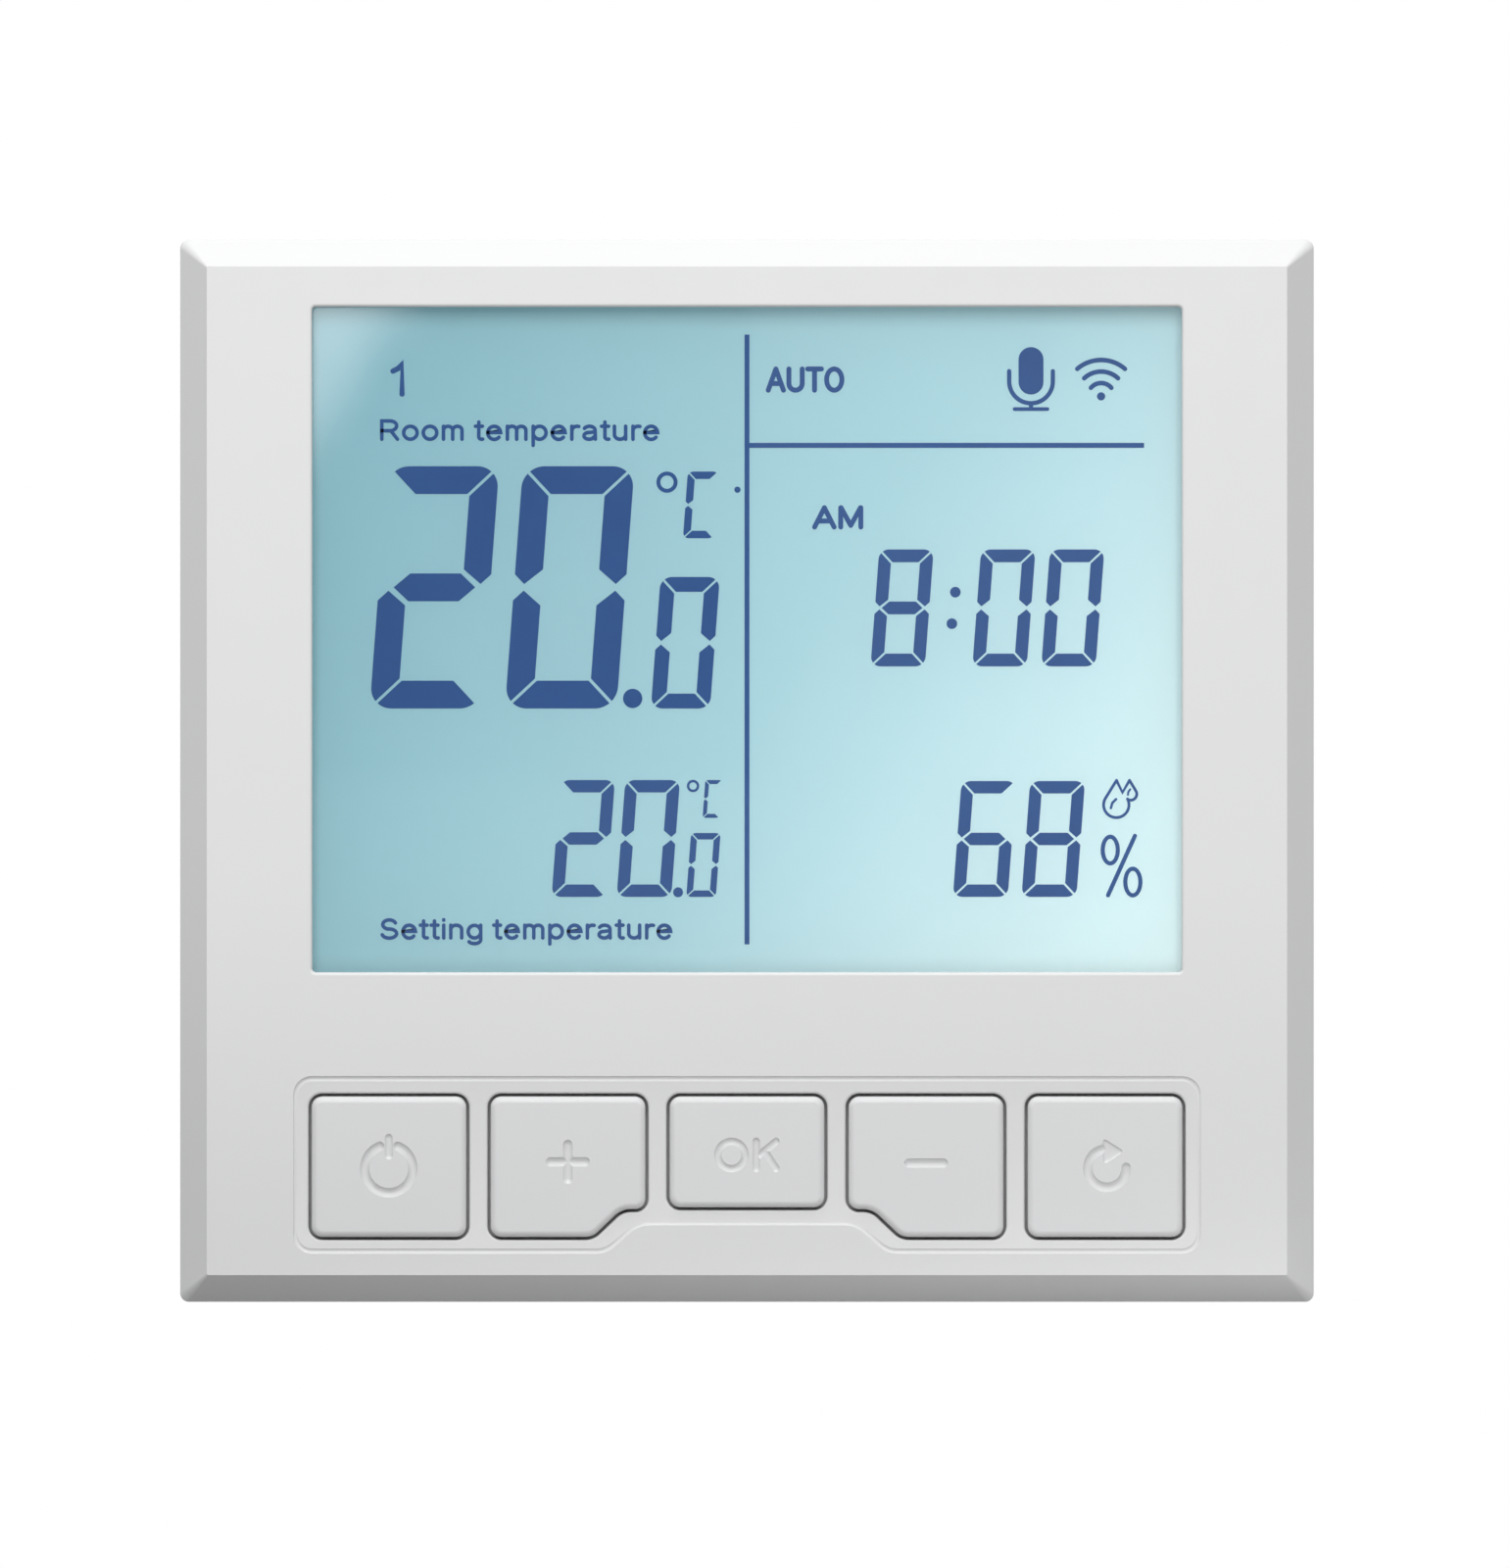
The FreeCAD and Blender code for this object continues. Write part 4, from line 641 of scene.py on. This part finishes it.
def terminal_number(number):
    """Raised figure above a terminal's screw, read from behind."""
    low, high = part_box(f"terminal_screw_{number}")
    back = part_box("terminal_block")[1].y
    data = lettering(str(number), NUMBER_WEIGHT)
    left, right = extent(data, 0)
    foot, head = extent(data, 1)
    size = NUMBER_HEIGHT * MM / (head - foot)
    mesh = bmesh.new()
    mesh.from_mesh(data)
    for v in mesh.verts:
        y = back + (NUMBER_RISE if v.co.z > 0 else -NUMBER_SINK) * MM
        v.co = ((low.x + high.x) / 2 - (v.co.x - (left + right) / 2) * size, y,
                high.z + NUMBER_GAP * MM + (v.co.y - foot) * size)
    return piece(f"terminal_number_{number}", mesh, "wall_base", NUMBER_FINISH)


NUMBER_FINISH = moulded("number_plastic", srgb(210, 222, 208), 0.45, 0.2, 0.004, 0.03)
for pole in POLES:
    terminal_number(pole)


# ---------------------------------------------------------------- stage, light and camera
# Lengths here are in metres, apart from GLARE_EDGE and GLARE_FADE, which are in millimetres.
FLOOR_RADIUS, FLOOR_Z = 0.6, -0.11
CARD_HALF_WIDTH, CARD_Z, CARD_NEAR, CARD_FAR = 0.09, -0.046, -0.0175, -0.064
CARD_GREYS, CARD_GREY_REACH = (0.3, 0.75), 0.04      # left and right ends of the grey, and where they are
CARD_BLACK, CARD_GREY = -0.032, -0.026               # it turns from black to grey between these two, in Y
GLARE_Y, GLARE_SIZE = -1.12, 0.09
GLARE_EDGE, GLARE_INWARD = (-54.0, 75.5), (-0.848, 0.53)     # a point on the glare's edge, and the way in
GLARE_FADE, GLARE_LEVEL = 12.0, 3.6
SKY = {"above": 0.86, "ahead": 0.24, "behind": 0.6}
LIGHTS = [                                           # name, place, width, height and power
    ("top_light", (-0.03, -0.16, 0.30), 0.30, 0.16, 0.28),
    ("front_light", (0.0, -0.9, 0.35), 0.5, 0.5, 3.75),
    ("low_light", (0.0, -0.9, -0.4), 0.5, 0.5, 1.23),
]
FRAME_HEIGHT = 0.1267                                # height that the camera sees at the front cover
CAMERA_X, CAMERA_Z = 0.00061, -0.00107


def flat_shape(name, corners, finish):
    data = bpy.data.meshes.new(name)
    data.from_pydata([Vector(c) for c in corners], [], [tuple(range(len(corners)))])
    data.materials.append(finish.material)
    made = bpy.data.objects.new(name, data)
    bpy.context.scene.collection.objects.link(made)
    return made


def floor():
    """Pale round floor below the object. It takes shadows, but neither blocks light nor throws it up."""
    f = Finish("floor_paint", 0.6)
    f.set("Base Color", f.mottle((0.78, 0.78, 0.78, 1), 0.01, 60.0))
    f.bump(f.noise(1.0), 0.02)
    rim = [(x, y, FLOOR_Z) for x, y in arc(0, 0, FLOOR_RADIUS, 0, 355, 71)]
    made = flat_shape("floor", rim, f)
    made.visible_diffuse = made.visible_glossy = made.visible_shadow = False
    return made


def low_card():
    """Black card just below and in front, which keeps light off the lower face and the bottom bevel. Its near
    strip is grey, paler to the right, and hands some of the light from above on to the bevel."""
    f = Finish("card_grey", 0.9)
    x, y, _ = f.axes()
    level = f.calc("MULTIPLY", f.ramp(x, -CARD_GREY_REACH, CARD_GREY_REACH, *CARD_GREYS),
                   f.ramp(y, CARD_BLACK, CARD_GREY))
    f.set("Base Color", f.add("CombineColor", {0: level, 1: level, 2: level}).outputs[0])
    corners = bar(-CARD_HALF_WIDTH, CARD_NEAR, CARD_HALF_WIDTH, CARD_FAR)
    made = flat_shape("card", [(x, y, CARD_Z) for x, y in corners], f)
    made.visible_camera = False
    return made


def window_glare():
    """Bright panel behind the camera, which shows in reflections alone: it is the pale patch in the corner of
    the display's window."""
    f = Finish("glare")
    x, _, z = f.axes()
    beyond = [f.calc("MULTIPLY", f.calc("SUBTRACT", place, edge * MM), inward / MM)
              for place, edge, inward in zip((x, z), GLARE_EDGE, GLARE_INWARD)]
    level = f.ramp(f.calc("ADD", *beyond), 0.0, GLARE_FADE, 0.0, GLARE_LEVEL, smooth=True)
    f.set("Base Color", (0, 0, 0, 1))
    f.set("Emission Color", (1, 1, 1, 1))
    f.set("Emission Strength", level)
    made = flat_shape("glare", [(x, GLARE_Y, z) for x, z in bar(-GLARE_SIZE, 0, 0, GLARE_SIZE)], f)
    made.visible_camera = made.visible_diffuse = made.visible_shadow = False
    return made


def soft_light(name, place, width, height, power):
    """White area light that looks at the origin, in the middle of the plate."""
    data = bpy.data.lights.new(name, "AREA")
    data.shape = "RECTANGLE"
    data.size, data.size_y = width, height
    data.energy = power
    made = bpy.data.objects.new(name, data)
    made.location = place
    made.rotation_euler = (Vector((0, 0, 0)) - Vector(place)).to_track_quat("-Z", "Y").to_euler()
    bpy.context.scene.collection.objects.link(made)
    return made


def surroundings():
    """White to the camera, and soft light on the object, from above, from in front and from behind."""
    world = bpy.data.worlds.new("studio")
    bpy.context.scene.world = world
    world.use_nodes = True
    tree = world.node_tree
    tree.nodes.clear()

    def add(kind, inputs=None, **settings):
        return add_node(tree, kind, inputs, **settings)

    def calc(operation, a, b):
        return add("Math", {0: a, 1: b}, operation=operation).outputs[0]

    split = add("SeparateXYZ", {0: add("TexCoord").outputs["Generated"]})
    above = calc("MULTIPLY", calc("MAXIMUM", split.outputs[2], 0.0), SKY["above"])
    ahead = calc("MULTIPLY", calc("MAXIMUM", calc("MULTIPLY", split.outputs[1], -1.0), 0.0), SKY["ahead"])
    behind = calc("MULTIPLY", calc("MAXIMUM", split.outputs[1], 0.0), SKY["behind"])
    level = calc("ADD", calc("ADD", above, ahead), behind)
    soft = add("Background", {"Color": (0.985, 0.995, 1.0, 1), "Strength": level})
    white = add("Background", {"Color": (1, 1, 1, 1), "Strength": 1.0})
    seen = add("LightPath").outputs["Is Camera Ray"]
    both = add("MixShader", {0: seen, 1: soft.outputs[0], 2: white.outputs[0]})
    add("OutputWorld", {"Surface": both.outputs[0]})


floor()
low_card()
window_glare()
surroundings()
for light in LIGHTS:
    soft_light(*light)

camera_data = bpy.data.cameras.new("camera")
camera_data.lens = 300
camera_data.sensor_width = 36
camera_data.clip_end = 20
camera = bpy.data.objects.new("camera", camera_data)
distance = FRAME_HEIGHT * camera_data.lens / camera_data.sensor_width
camera.location = (CAMERA_X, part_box("front_cover")[0].y - distance, CAMERA_Z)
camera.rotation_euler = (math.radians(90), 0, 0)
bpy.context.scene.collection.objects.link(camera)
bpy.context.scene.camera = camera
bpy.context.scene.view_settings.view_transform = "Standard"
